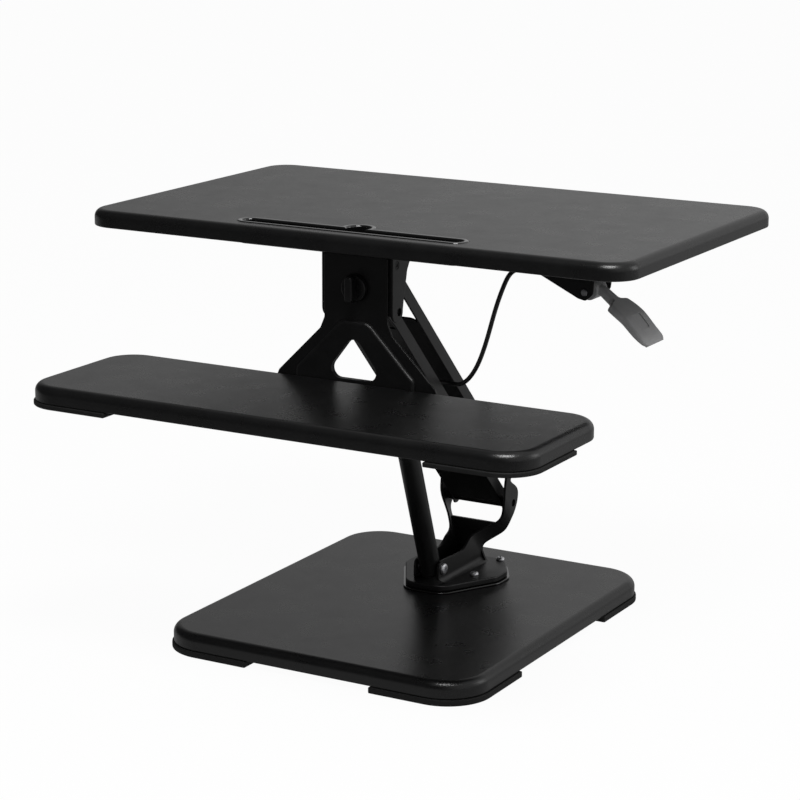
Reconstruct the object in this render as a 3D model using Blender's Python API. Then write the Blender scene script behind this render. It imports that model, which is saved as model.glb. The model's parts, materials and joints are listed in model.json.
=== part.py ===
# Standing desk converter: a desktop with a keyboard tray hung below it, carried on two
# parallel arms over a weighted base board, with a lockable gas spring and a release lever.
# Metres, +Z up, -Y is the user's side. Pieces are drawn from the middle of the base board's
# underside; the whole then stands on the ground with the origin under the middle of its box.

import bpy
import bmesh
from math import cos, sin, asin, pi, radians, degrees, atan2
from mathutils import Matrix, Vector

# Clearances
GAP = 0.0003            # between pieces that touch
PIN_PLAY = 0.0003       # radial, pin in its hole
SIDE_PLAY = 0.0006      # arm beside its bracket

# Boards
BOARD = 0.018
EDGE_ROUND = 0.009
DESK_WIDTH = 0.634
DESK_DEPTH = 0.392
DESK_CORNER = 0.032
TRAY_WIDTH = 0.576
TRAY_DEPTH = 0.182
TRAY_CORNER = 0.038
BASE_WIDTH = 0.372
BASE_DEPTH = 0.440
BASE_CORNER = 0.048

# Rubber feet under the corners
FOOT_HEIGHT = 0.0067
FOOT_BAND = 0.022
FOOT_PROUD = 0.0018
BASE_FOOT_FRONT = 0.112     # run along the front and back edges, from the board's side
BASE_FOOT_SIDE = 0.120      # run along the sides, from the board's front or back
TRAY_FOOT_HEIGHT = 0.005
TRAY_FOOT_FRONT = 0.105
TRAY_FOOT_SIDE = 0.112

# Lift linkage: two equal arms on pivots that keep one offset at both ends
LOW_PIVOT_Y = 0.163
LOW_PIVOT_HEIGHT = 0.075    # above the base board
ARM_LENGTH = 0.3783
ARM_LEAN = radians(44.68)   # from upright, towards the user
REAR_OFFSET_Y = -0.005
REAR_OFFSET_Z = 0.0492
BRACKET_HALF = 0.042        # half the outer width over both pivot brackets
ARM_HALF = 0.033            # half the outer width over an arm's two flanges
SHEET = 0.003
ARM_SHEET = 0.0025
PIN_RADIUS = 0.004
PIN_RECESS = 0.002          # pin's end inside the cheek's outer face
BUSH_WALL = 0.0018
LOBE_RADIUS = 0.010
REAR_LOBE_RADIUS = 0.0082
FRONT_ARM_FRONT = 0.0064    # flange edges, from the line of the pivots
FRONT_ARM_BACK = 0.0081
REAR_ARM_FRONT = 0.0055
REAR_ARM_BACK = 0.0085
FRONT_WEB_LOW = 0.009       # webs' ends from the lower and the upper pivot, along the arm
FRONT_WEB_HIGH = 0.024
REAR_WEB_LOW = 0.045
REAR_WEB_HIGH = 0.091
WEB_SHOULDER = 0.010

# Gas spring
SPRING_Y = 0.044
SPRING_HEIGHT = 0.025       # lower pivot above the base board
SPRING_ON_ARM = 0.307       # upper pivot, along the front arm
CYLINDER_RADIUS = 0.0116
CYLINDER_WALL = 0.0015
CYLINDER_LENGTH = 0.160
CYLINDER_TAIL = 0.0078      # below the lower pivot
CYLINDER_CHAMFER = 0.003
CYLINDER_FLOOR = 0.012
GUIDE_LENGTH = 0.006
ROD_RADIUS = 0.005
ROD_LENGTH = 0.172
EYE_RADIUS = 0.008
EYE_HALF = 0.008
LUG_HALF = 0.013            # inner faces of the two lugs on the arm
LUG_SHEET = 0.003

# Base bracket
TRIM = 0.002
FLANGE = 0.0068
FLANGE_HALF = 0.0585
FLANGE_NOSE_HALF = 0.0225
FLANGE_TAIL_HALF = 0.036
FLANGE_ROUND = 0.022
CLEVIS_HALF = 0.016
FLARE_RUN = 0.076           # slanted stretch where the cheeks spread, measured along Y + Z
FLARE_END = 0.008           # its end short of the front arm's pivot
FOOT_FILLET = 0.007
FLARE_STEPS = 7
FILLET_STEPS = 3
BASE_SCREW_X = 0.033

# Screws
SCREW_RADIUS = 0.0024
SCREW_HEAD = 0.005
SCREW_HEAD_HEIGHT = 0.0032
SCREW_DEPTH = 0.012
HOLE_PLAY = 0.0003

# Upper bracket and desktop, from the front arm's upper pivot
PIVOT_BELOW_DESK = 0.065
BRACKET_FRONT = 0.014       # bracket's front face ahead of the pivot
BRACKET_ROUND = 0.011
MOUNT_PLATE_HALF = 0.075
MOUNT_PLATE_BACK = 0.163    # rear edge behind the pivot
RAIL_HEIGHT = 0.0145
DESK_OVERHANG = 0.051       # desktop's front edge ahead of the pivot

# Device slot in the desktop
SLOT_X = -0.005
SLOT_HALF = 0.1345
SLOT_WIDTH = 0.028
SLOT_FROM_FRONT = 0.033
SLOT_RIM = 0.0055
SLOT_RIM_HEIGHT = 0.002
SLOT_BELOW = 0.0048
SLOT_FLOOR = 0.002
CUP_RADIUS = 0.0185
CUP_BACK = 0.016            # round pocket's middle behind the slot's

# Keyboard tray hanger
TRAY_DROP = 0.156           # tray's underside below the desktop's
TRAY_SETBACK = 0.0085       # tray's back edge ahead of the bracket's front face
HANGER_SHEET = 0.0025
HANGER_NECK_HALF = 0.0375
HANGER_FOOT_HALF = 0.096
EMBOSS = 0.004             # raised arch on the hanger's face
EMBOSS_CROWN_HALF = 0.013
EMBOSS_FOOT_HALF = 0.0705
HANGER_SHELF = 0.055
HANGER_HOLE_HALF = 0.037
HANGER_HOLE_HEIGHT = 0.0485
KNOB_RADIUS = 0.0145
KNOB_SKIRT = 0.006
KNOB_GRIP = 0.010
KNOB_GRIP_HALF = 0.0042
KNOB_BELOW_DESK = 0.041
STUD_RADIUS = 0.003

# Release lever under the right-hand side
LEVER_X = 0.231
LEVER_BACK = 0.113          # lever's middle behind the desktop's front edge
LEVER_BELOW_DESK = 0.0323
LEVER_HALF = 0.0235
LEVER_HUB_HALF = 0.012
LEVER_NECK_HALF = 0.006
LEVER_THICK = 0.009
PAD_RUN = 0.009             # bare recess in the paddle: half sizes and depth
PAD_HALF = 0.010
PAD_DEEP = 0.0008
LEVER_BRACKET_HALF = 0.022
LEVER_BRACKET_TAIL = 0.081  # from the pivot, to the left and to the right
LEVER_BRACKET_NOSE = 0.0125
LEVER_FOOT = 0.014
CABLE_STOP = 0.0355         # stop plate left of the pivot
CABLE_ABOVE_LEVER = 0.019
LEVER_HUB = 0.0095
LEVER_SHEET = 0.002
LEVER_PIN = 0.0035

# Release cable
CABLE_RADIUS = 0.0024
CABLE_SEGMENTS = 3          # points read per stretch between route points
ADJUSTER_RADIUS = 0.0031
ADJUSTER_X = 0.021
ADJUSTER_ACROSS = 0.003
ADJUSTER_LOW = 0.256        # along the front arm
ADJUSTER_HIGH = 0.284
ANCHOR_TAB = 0.268

ROUND_STEPS = 6
PIN_SIDES = 20
TUBE_SIDES = 28

# Derived places
base_top = BOARD
low_pivot = Vector((0, LOW_PIVOT_Y, base_top + LOW_PIVOT_HEIGHT))
rear_offset = Vector((0, REAR_OFFSET_Y, REAR_OFFSET_Z))
arm_way = Vector((0, -sin(ARM_LEAN), cos(ARM_LEAN)))
top_pivot = low_pivot + ARM_LENGTH * arm_way
low_pivot_rear = low_pivot + rear_offset
top_pivot_rear = top_pivot + rear_offset
spring_pivot = Vector((0, SPRING_Y, base_top + SPRING_HEIGHT))
spring_head = low_pivot + SPRING_ON_ARM * arm_way
spring_way = (spring_head - spring_pivot).normalized()
spring_length = (spring_head - spring_pivot).length
spring_lean = atan2(-spring_way.y, spring_way.z)
trim_low = base_top + GAP
flange_low = trim_low + TRIM + GAP
flange_top = flange_low + FLANGE
desk_low = top_pivot.z + PIVOT_BELOW_DESK
desk_top = desk_low + BOARD
desk_front = top_pivot.y - DESK_OVERHANG
desk_middle = desk_front + DESK_DEPTH / 2
bracket_face = top_pivot.y - BRACKET_FRONT
hanger_back = bracket_face - GAP
hanger_face = hanger_back - HANGER_SHEET
tray_low = desk_low - TRAY_DROP
tray_top = tray_low + BOARD
tray_back = bracket_face - TRAY_SETBACK
tray_middle = tray_back - TRAY_DEPTH / 2
slot_y = desk_front + SLOT_FROM_FRONT
bush_half = BRACKET_HALF - SHEET - SIDE_PLAY / 2
pin_hole = PIN_RADIUS + PIN_PLAY
screw_hole = SCREW_RADIUS + HOLE_PLAY
lever_pivot = Vector((LEVER_X, desk_front + LEVER_BACK, desk_low - LEVER_BELOW_DESK))

for old in list(bpy.data.objects):
    bpy.data.objects.remove(old, do_unlink=True)


def material(name, colour, roughness, metallic=0.0):
    made = bpy.data.materials.new(name)
    made.use_nodes = True
    shader = made.node_tree.nodes["Principled BSDF"]
    shader.inputs["Base Color"].default_value = (*colour, 1)
    shader.inputs["Roughness"].default_value = roughness
    shader.inputs["Metallic"].default_value = metallic
    return made


BLACK_BOARD = material("black_board", (0.030, 0.030, 0.031), 0.55)
BLACK_COAT = material("black_coat", (0.032, 0.032, 0.033), 0.45)
BLACK_RUBBER = material("black_rubber", (0.022, 0.022, 0.022), 0.8)
GLOSS_PLASTIC = material("gloss_plastic", (0.015, 0.015, 0.016), 0.15)
GREY_PLASTIC = material("grey_plastic", (0.060, 0.060, 0.062), 0.45)
BLACK_PLASTIC = material("black_plastic", (0.020, 0.020, 0.020), 0.4)
ZINC = material("zinc", (0.72, 0.72, 0.73), 0.28, 1.0)
STEEL = material("steel", (0.55, 0.55, 0.56), 0.3, 1.0)


def add_object(name, shape, surface, smooth=35):
    bmesh.ops.recalc_face_normals(shape, faces=shape.faces)
    mesh = bpy.data.meshes.new(name)
    shape.to_mesh(mesh)
    shape.free()
    mesh.materials.append(surface)
    mesh.shade_smooth()
    mesh.set_sharp_from_angle(angle=radians(smooth))
    made = bpy.data.objects.new(name, mesh)
    bpy.context.scene.collection.objects.link(made)
    return made


def hide_tool(tool, target):
    tool.parent = target
    tool.hide_render = True
    tool.display_type = "WIRE"


def combine(target, shape, operation):
    tool = add_object(target.name + "_" + operation.lower(), shape, target.data.materials[0])
    hide_tool(tool, target)
    step = target.modifiers.new(operation.lower(), "BOOLEAN")
    step.operation = operation
    step.solver = "EXACT"
    step.object = tool


def cut(target, shape):
    combine(target, shape, "DIFFERENCE")


def fuse(target, shape):
    combine(target, shape, "UNION")


def carrier(name, place, lean=0.0):
    empty = bpy.data.objects.new(name, None)
    empty.location = place
    empty.rotation_euler = (lean, 0, 0)
    empty.empty_display_size = 0.03
    bpy.context.scene.collection.objects.link(empty)
    return empty


def hang(made, empty):
    # Shapes drawn in world places keep them under an empty on the joint's axis.
    back = Matrix.Translation(-empty.location)
    made.data.transform(back)
    for tool in made.children:
        tool.data.transform(back)
    made.parent = empty


def loft(shape, rings):
    rows = [[shape.verts.new(point) for point in ring] for ring in rings]
    for low, high in zip(rows, rows[1:]):
        for i in range(len(low)):
            j = (i + 1) % len(low)
            shape.faces.new((low[i], low[j], high[j], high[i]))
    shape.faces.new(list(reversed(rows[0])))
    shape.faces.new(rows[-1])
    return shape


def prism(points, low, high, axis="Z", shape=None):
    order = {"X": lambda u, v, w: (w, u, v), "Y": lambda u, v, w: (u, w, v), "Z": lambda u, v, w: (u, v, w)}
    place = order[axis]
    rings = [[place(u, v, w) for u, v in points] for w in (low, high)]
    return loft(shape or bmesh.new(), rings)


def arc(centre, radius, start, stop, steps=ROUND_STEPS):
    turns = [radians(start + (stop - start) * i / steps) for i in range(steps + 1)]
    return [(centre[0] + radius * cos(t), centre[1] + radius * sin(t)) for t in turns]


def circle(centre, radius, sides=PIN_SIDES):
    return arc(centre, radius, 0, 360 * (sides - 1) / sides, sides - 1)


def rectangle(left, right, low, high):
    return [(left, low), (right, low), (right, high), (left, high)]


def rounded(corners, radius, steps=4):
    # Replaces each corner of an outline by an arc that touches both sides.
    points = []
    count = len(corners)
    radii = radius if isinstance(radius, (list, tuple)) else [radius] * count
    for i in range(count):
        here = Vector(corners[i])
        before = (Vector(corners[i - 1]) - here).normalized()
        after = (Vector(corners[(i + 1) % count]) - here).normalized()
        half = before.angle(after) / 2
        middle = here + (before + after).normalized() * radii[i] / sin(half)
        first = here + before * radii[i] * cos(half) / sin(half) - middle
        last = here + after * radii[i] * cos(half) / sin(half) - middle
        start = atan2(first.y, first.x)
        sweep = (atan2(last.y, last.x) - start + pi) % (2 * pi) - pi
        for k in range(steps + 1):
            turn = start + sweep * k / steps
            points.append((middle.x + radii[i] * cos(turn), middle.y + radii[i] * sin(turn)))
    return points


def rounded_board(width, depth, corner, middle_y, inset=0.0):
    half_x = width / 2 - inset
    half_y = depth / 2 - inset
    corners = rectangle(-half_x, half_x, middle_y - half_y, middle_y + half_y)
    return rounded(corners, corner - inset, ROUND_STEPS + 2)


def lathe(profile, sides=TUBE_SIDES):
    # Turns a closed outline of (radius, height) pairs about the Z axis.
    shape = bmesh.new()
    rows = []
    for radius, height in profile:
        if radius < 1e-9:
            rows.append([shape.verts.new((0, 0, height))])
        else:
            rows.append([shape.verts.new((x, y, height)) for x, y in circle((0, 0), radius, sides)])
    for low, high in zip(rows, rows[1:] + rows[:1]):
        if len(low) == 1 and len(high) == 1:
            continue
        for i in range(sides):
            j = (i + 1) % sides
            ring = [low[i % len(low)], low[j % len(low)], high[j % len(high)], high[i % len(high)]]
            shape.faces.new(list(dict.fromkeys(ring)))
    return shape


def board(name, width, depth, corner, middle_y, low):
    shoulder = low + BOARD - EDGE_ROUND
    levels = [(0.0, low), (0.0, shoulder)]
    for i in range(1, ROUND_STEPS):
        turn = radians(90) * i / (ROUND_STEPS - 1)
        levels.append((EDGE_ROUND * (1 - cos(turn)), shoulder + EDGE_ROUND * sin(turn)))
    rings = []
    for inset, z in levels:
        rings.append([(x, y, z) for x, y in rounded_board(width, depth, corner, middle_y, inset)])
    return add_object(name, loft(bmesh.new(), rings), BLACK_BOARD)


def corner_foot(name, half_x, edge_y, corner, side, along_front, along_side, low, high, facing=-1):
    # A band under one board corner: facing is -1 for a front corner and +1 for a back one.
    grip = corner - FOOT_BAND
    middle = (half_x - corner, edge_y + corner)
    outer = [(half_x - along_front, edge_y - FOOT_PROUD)]
    outer += arc(middle, corner + FOOT_PROUD, -90, 0)
    outer += [(half_x + FOOT_PROUD, edge_y + along_side)]
    inner = [(half_x - FOOT_BAND, edge_y + along_side)]
    inner += arc(middle, grip, 0, -90)
    inner += [(half_x - along_front, edge_y + FOOT_BAND)]
    points = [(side * x, -facing * y) for x, y in outer + inner]
    return add_object(name, prism(points, low, high), BLACK_RUBBER)


def screws(name, places, seat, up, depth):
    # Pan-head screws: up is +1 where the heads are on top and -1 where they point down.
    made = []
    head = seat + up * GAP
    crown = head + up * SCREW_HEAD_HEIGHT
    levels = [(SCREW_RADIUS, seat - up * depth), (SCREW_RADIUS, head), (SCREW_HEAD, head),
              (SCREW_HEAD, head + up * SCREW_HEAD_HEIGHT * 0.45), (SCREW_HEAD * 0.55, crown)]
    for number, place in enumerate(places, 1):
        rings = [[(x, y, z) for x, y in circle(place, radius, 16)] for radius, z in levels]
        made.append(add_object(name + "_" + str(number), loft(bmesh.new(), rings), ZINC))
    return made


def screw_holes(target, places, low, high):
    shape = bmesh.new()
    for place in places:
        prism(circle(place, screw_hole, 16), low, high, "Z", shape)
    cut(target, shape)


def pin(name, place):
    half = BRACKET_HALF - PIN_RECESS
    return add_object(name, prism(circle((place.y, place.z), PIN_RADIUS), -half, half, "X"), BLACK_COAT)


# Base board, its feet and the trim plate under the bracket
base_board = board("base_board", BASE_WIDTH, BASE_DEPTH, BASE_CORNER, 0, 0)
base_screw_places = [(x, y) for x in (-BASE_SCREW_X, BASE_SCREW_X)
                     for y in (SPRING_Y + 0.042, LOW_PIVOT_Y - 0.013)]
screw_holes(base_board, base_screw_places, base_top - SCREW_DEPTH, base_top + BOARD)
for facing, row in ((-1, "front"), (1, "rear")):
    for side, hand in ((-1, "left"), (1, "right")):
        corner_foot("base_foot_" + row + "_" + hand, BASE_WIDTH / 2, -BASE_DEPTH / 2, BASE_CORNER, side,
                    BASE_FOOT_FRONT, BASE_FOOT_SIDE, -FOOT_HEIGHT - GAP, -GAP, facing)


def flange_outline(grow):
    front = SPRING_Y - 0.0155 - grow
    back = LOW_PIVOT_Y - 0.007 + grow
    wide = FLANGE_HALF + grow
    right = [(FLANGE_NOSE_HALF + grow / 2, front), (wide, SPRING_Y + 0.049), (wide, LOW_PIVOT_Y - 0.045),
             (FLANGE_TAIL_HALF + grow / 2, back)]
    left = [(-x, y) for x, y in reversed(right)]
    return rounded(right + left, FLANGE_ROUND)


trim_plate = add_object("trim_plate", prism(flange_outline(0.0028), trim_low, trim_low + TRIM), GLOSS_PLASTIC)
screw_holes(trim_plate, base_screw_places, trim_low - TRIM, trim_low + 2 * TRIM)

# Base bracket: a flange, two bent cheeks that hug the spring and flare out to the arms, and a web
gy, gz = spring_pivot.y, spring_pivot.z
ly, lz = low_pivot.y, low_pivot.z
ry, rz = low_pivot_rear.y, low_pivot_rear.z
cheek_foot = flange_low + FLANGE / 2
flare_start = ly + lz - FLARE_END - FLARE_RUN
cheek_front = [
    (gy - 0.0095, cheek_foot), (gy - 0.0095, gz + 0.004), (gy - 0.006, gz + 0.0085), (gy + 0.002, gz + 0.010),
    (gy + 0.045, gz + 0.008), (gy + 0.055, gz + 0.0115), (ly - 0.056, lz - 0.032), (ly - 0.046, lz - 0.029),
    (ly - 0.029, lz - 0.023), (ly - 0.020, lz - 0.0195), (ly - 0.0165, lz - 0.016), (ly - 0.0165, lz - 0.009),
    (ly - 0.0195, lz), (ly - 0.0205, lz + 0.011), (ly - 0.0195, lz + 0.023),
]
cheek_back = [
    (ry - 0.0035, rz - 0.020), (ly - 0.0045, lz + 0.025), (ly + 0.005, lz + 0.0195), (ly + 0.010, lz + 0.015),
    (ly + 0.0123, lz + 0.009), (ly + 0.0105, lz), (ly + 0.006, lz - 0.008), (ly - 0.0005, lz - 0.016),
    (ly - 0.002, lz - 0.027), (ly - 0.0035, lz - 0.034), (ly - 0.013, lz - 0.040), (ly - 0.024, gz + 0.005),
    (ly - 0.0255, gz + 0.001), (ly - 0.023, gz - 0.009), (ly - 0.020, cheek_foot),
]
cheek_outline = cheek_front + arc((ry, rz), LOBE_RADIUS, 205, -30) + cheek_back


def cheek_half(y, z):
    # Outer half width: narrow beside the spring, spread along Y + Z to the arms, filleted at the foot.
    share = min(max((y + z - flare_start) / FLARE_RUN, 0), 1)
    short = FOOT_FILLET - min(max(z - flange_top, 0), FOOT_FILLET)
    fillet = FOOT_FILLET - (FOOT_FILLET ** 2 - short ** 2) ** 0.5
    return CLEVIS_HALF + (BRACKET_HALF - CLEVIS_HALF) * share ** 2 * (3 - 2 * share) + fillet


def crease(shape, place, way):
    # Splits a flat sheet where it bends, along the plane through (0, 0, place).
    everything = shape.verts[:] + shape.edges[:] + shape.faces[:]
    bmesh.ops.bisect_plane(shape, geom=everything, plane_co=(0, 0, place), plane_no=way)


def bent_cheek(side):
    shape = bmesh.new()
    shape.faces.new([shape.verts.new((0, y, z)) for y, z in cheek_outline])
    for i in range(FLARE_STEPS + 1):
        crease(shape, flare_start + FLARE_RUN * i / FLARE_STEPS, (0, 1, 1))
    for i in range(FILLET_STEPS + 1):
        crease(shape, flange_top + FOOT_FILLET * (1 - cos(radians(90) * i / FILLET_STEPS)), (0, 0, 1))
    for vert in shape.verts:
        vert.co.x = side * cheek_half(vert.co.y, vert.co.z)
    skin_made = bmesh.ops.extrude_face_region(shape, geom=shape.faces[:], use_keep_orig=True)
    inner = [item for item in skin_made["geom"] if isinstance(item, bmesh.types.BMVert)]
    bmesh.ops.translate(shape, vec=(-side * SHEET, 0, 0), verts=inner)
    return shape


bracket_shape = prism(flange_outline(0), flange_low, flange_top)
base_bracket = add_object("base_bracket", bracket_shape, BLACK_COAT)
for side in (-1, 1):
    fuse(base_bracket, bent_cheek(side))
web_rows = [(ly - 0.0237, cheek_foot), (ly - 0.0288, gz + 0.001), (ly - 0.0233, gz + 0.007),
            (ly - 0.0148, lz - 0.035), (ly - 0.0132, lz - 0.0225)]
web_rings = []
for front, z in web_rows:
    reach = cheek_half(front + SHEET / 2, z) - SHEET / 2
    web_rings.append([(x, y, z) for x, y in rectangle(-reach, reach, front, front + SHEET)])
fuse(base_bracket, loft(bmesh.new(), web_rings))
bracket_holes = bmesh.new()
for place in (spring_pivot, low_pivot, low_pivot_rear):
    prism(circle((place.y, place.z), pin_hole), -2 * BRACKET_HALF, 2 * BRACKET_HALF, "X", bracket_holes)
cut(base_bracket, bracket_holes)
screw_holes(base_bracket, base_screw_places, flange_low - FLANGE, flange_top + FLANGE)
screws("base_screw", base_screw_places, flange_top, 1, FLANGE + TRIM + SCREW_DEPTH - 0.002)

pin("front_low_pin", low_pivot)
pin("rear_low_pin", low_pivot_rear)

# The spring's lower bolt has a domed head outside the right cheek and a nut outside the left one.
bolt = lathe([(0, -CLEVIS_HALF - 0.003), (PIN_RADIUS, -CLEVIS_HALF - 0.003), (PIN_RADIUS, CLEVIS_HALF + GAP),
              (0.0065, CLEVIS_HALF + GAP), (0.0065, CLEVIS_HALF + 0.0018), (0.0045, CLEVIS_HALF + 0.0036),
              (0, CLEVIS_HALF + 0.0036)], PIN_SIDES)
bolt.transform(Matrix.Translation(spring_pivot) @ Matrix.Rotation(pi / 2, 4, "Y"))
add_object("spring_bolt", bolt, ZINC)

# Arms: drawn along local Z from the lower pivot, with local Y pointing up and back.
front_carrier = carrier("front_arm_pivot", low_pivot, ARM_LEAN)
rear_carrier = carrier("rear_arm_pivot", low_pivot_rear, ARM_LEAN)


def arm_flange(front, back, lobe):
    length = ARM_LENGTH
    taper = 0.016
    points = [(-front, taper), (-front, length - taper)]
    points += arc((0, length), lobe, 160, 20)
    points += [(back, length - taper), (back, taper)]
    points += arc((0, 0), lobe, -20, -160)
    return points


def arm(name, front, back, lobe, web_low, web_high, shoulders, empty):
    made = None
    outline = arm_flange(front, back, lobe)
    for side in (-1, 1):
        edges = sorted((side * (ARM_HALF - ARM_SHEET), side * ARM_HALF))
        shape = prism(outline, edges[0], edges[1], "X")
        if made is None:
            made = add_object(name, shape, BLACK_COAT)
        else:
            fuse(made, shape)
    reach = ARM_HALF - ARM_SHEET / 2
    skin = 0.12 * ARM_SHEET
    web = rounded(rectangle(-reach, reach, web_low, ARM_LENGTH - web_high), shoulders)
    fuse(made, prism(web, -front + skin, -front + skin + ARM_SHEET, "Y"))
    made.parent = empty
    return made


def arm_holes(made):
    shape = bmesh.new()
    eye = PIN_RADIUS + BUSH_WALL + 2 * PIN_PLAY
    for height in (0, ARM_LENGTH):
        prism(circle((0, height), eye), -2 * ARM_HALF, 2 * ARM_HALF, "X", shape)
    cut(made, shape)


def bush(name, height, empty):
    # A sleeve fixed in both eyes at one end of an arm, which spaces the arm between the cheeks.
    half = bush_half
    inner = pin_hole
    outer = PIN_RADIUS + BUSH_WALL + PIN_PLAY
    shape = lathe([(inner, half), (inner, -half), (outer, -half), (outer, half)], PIN_SIDES)
    shape.transform(Matrix.Translation((0, 0, height)) @ Matrix.Rotation(pi / 2, 4, "Y"))
    add_object(name, shape, BLACK_PLASTIC).parent = empty


front_arm = arm("front_arm", FRONT_ARM_FRONT, FRONT_ARM_BACK, LOBE_RADIUS, FRONT_WEB_LOW, FRONT_WEB_HIGH,
                ARM_SHEET, front_carrier)
lug_front = -FRONT_ARM_FRONT + ARM_SHEET / 2
for side in (-1, 1):
    edges = sorted((side * LUG_HALF, side * (LUG_HALF + LUG_SHEET)))
    corners = rectangle(lug_front, EYE_RADIUS, SPRING_ON_ARM - 0.014, SPRING_ON_ARM + 0.014)
    fuse(front_arm, prism(rounded(corners, (0.0005, 0.007, 0.007, 0.0005)), edges[0], edges[1], "X"))
tab = rectangle(LUG_HALF + LUG_SHEET, ADJUSTER_X + 0.006, lug_front, ADJUSTER_ACROSS + 0.006)
fuse(front_arm, prism(rounded(tab, (0.0005, 0.0005, 0.004, 0.004)), ANCHOR_TAB, ANCHOR_TAB + LUG_SHEET, "Z"))
spring_slot = rectangle(-LUG_HALF - 0.0004, LUG_HALF + 0.0004, SPRING_ON_ARM - 0.100, SPRING_ON_ARM + 0.015)
cut(front_arm, prism(rounded(spring_slot, 0.008), -2 * FRONT_ARM_FRONT, lug_front + ARM_SHEET, "Y"))
cut(front_arm, prism(circle((ADJUSTER_X, ADJUSTER_ACROSS), ADJUSTER_RADIUS + PIN_PLAY),
                     ANCHOR_TAB - LUG_SHEET, ANCHOR_TAB + 2 * LUG_SHEET, "Z"))
arm_holes(front_arm)
bush("front_arm_low_bush", 0, front_carrier)
bush("front_arm_top_bush", ARM_LENGTH, front_carrier)

rear_arm = arm("rear_arm", REAR_ARM_FRONT, REAR_ARM_BACK, REAR_LOBE_RADIUS, REAR_WEB_LOW, REAR_WEB_HIGH,
               WEB_SHOULDER, rear_carrier)
arm_holes(rear_arm)
bush("rear_arm_low_bush", 0, rear_carrier)
bush("rear_arm_top_bush", ARM_LENGTH, rear_carrier)

# Cable adjuster screwed into the tab on the front arm, with its nut and the wire's end
adjuster = lathe([(0, ADJUSTER_LOW), (ADJUSTER_RADIUS, ADJUSTER_LOW), (ADJUSTER_RADIUS, ANCHOR_TAB - 0.006),
                  (0.005, ANCHOR_TAB - 0.006), (0.005, ANCHOR_TAB - GAP), (ADJUSTER_RADIUS, ANCHOR_TAB - GAP),
                  (ADJUSTER_RADIUS, ADJUSTER_HIGH), (0.0012, ADJUSTER_HIGH + 0.002), (0.0012, SPRING_ON_ARM),
                  (0, SPRING_ON_ARM)], 16)
adjuster.transform(Matrix.Translation((ADJUSTER_X, ADJUSTER_ACROSS, 0)))
add_object("cable_adjuster", adjuster, STEEL).parent = front_carrier

# Gas spring: drawn along local Z from its lower pivot
spring_carrier = carrier("spring_pivot", spring_pivot, spring_lean)
bore = CYLINDER_RADIUS - CYLINDER_WALL
guide = CYLINDER_LENGTH - GUIDE_LENGTH
tail = -CYLINDER_TAIL
tail_radius = CYLINDER_RADIUS - CYLINDER_CHAMFER
guide_bore = ROD_RADIUS + PIN_PLAY
cylinder = lathe([(0, tail), (tail_radius, tail), (CYLINDER_RADIUS, tail + CYLINDER_CHAMFER),
                  (CYLINDER_RADIUS, CYLINDER_LENGTH - 0.001), (CYLINDER_RADIUS - 0.001, CYLINDER_LENGTH),
                  (guide_bore, CYLINDER_LENGTH), (guide_bore, guide), (bore, guide), (bore, CYLINDER_FLOOR),
                  (0, CYLINDER_FLOOR)])
spring_cylinder = add_object("spring_cylinder", cylinder, BLACK_COAT)
cut(spring_cylinder, prism(circle((0, 0), pin_hole), -2 * CYLINDER_RADIUS, 2 * CYLINDER_RADIUS, "X"))
spring_cylinder.parent = spring_carrier

rod_low = spring_length - ROD_LENGTH
piston = bore - PIN_PLAY
rod = lathe([(0, rod_low), (piston, rod_low), (piston, rod_low + 0.008), (ROD_RADIUS, rod_low + 0.008),
             (ROD_RADIUS, spring_length - EYE_RADIUS / 2), (0, spring_length - EYE_RADIUS / 2)], PIN_SIDES)
spring_rod = add_object("spring_rod", rod, STEEL)
fuse(spring_rod, prism(circle((0, spring_length), EYE_RADIUS), -EYE_HALF, EYE_HALF, "X"))
cut(spring_rod, prism(circle((0, spring_length), pin_hole), -2 * EYE_HALF, 2 * EYE_HALF, "X"))
spring_rod.parent = spring_carrier
head_pin = prism(circle((0, spring_length), PIN_RADIUS), -LUG_HALF + GAP, LUG_HALF - GAP, "X")
add_object("spring_head_pin", head_pin, ZINC).parent = spring_carrier

# Upper bracket: a channel round the arms' tops, with rails and a plate under the desktop
desk_carrier = carrier("desk_pivot", top_pivot)
uy, uz = top_pivot.y, top_pivot.z
plate_top = desk_low - GAP
plate_low = plate_top - ARM_SHEET
channel_top = desk_low - SLOT_BELOW - 0.0016
rail_front = slot_y + CUP_BACK + CUP_RADIUS + 0.006
rail_back = uy + MOUNT_PLATE_BACK
rail_low = plate_top - RAIL_HEIGHT
cheek = [(bracket_face, channel_top), (rail_front, channel_top), (rail_front, plate_low + ARM_SHEET / 2),
         (rail_back, plate_low + ARM_SHEET / 2), (rail_back, rail_low + 0.006), (rail_back - 0.012, rail_low),
         (uy + 0.023, rail_low), (uy + 0.0206, desk_low - 0.0174), (uy + 0.0167, desk_low - 0.024),
         (uy + 0.0149, desk_low - 0.032), (uy + 0.0097, desk_low - 0.054)]
cheek += arc((bracket_face + BRACKET_ROUND, uz), BRACKET_ROUND, 5, -180, 10)
top_bracket = None
for side in (-1, 1):
    edges = sorted((side * (BRACKET_HALF - SHEET), side * BRACKET_HALF))
    shape = prism(cheek, edges[0], edges[1], "X")
    if top_bracket is None:
        top_bracket = add_object("top_bracket", shape, BLACK_COAT)
    else:
        fuse(top_bracket, shape)
reach = BRACKET_HALF - SHEET / 2
skin = 0.1 * SHEET
front_plate_top = top_pivot_rear.z - REAR_LOBE_RADIUS - 0.003
front_plate = rectangle(bracket_face + skin, bracket_face + skin + SHEET, uz + 0.006, front_plate_top)
fuse(top_bracket, prism(front_plate, -reach, reach, "X"))
plate = rounded(rectangle(-MOUNT_PLATE_HALF, MOUNT_PLATE_HALF, rail_front + skin, rail_back - skin), 0.010)
fuse(top_bracket, prism(plate, plate_low, plate_top))
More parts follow.
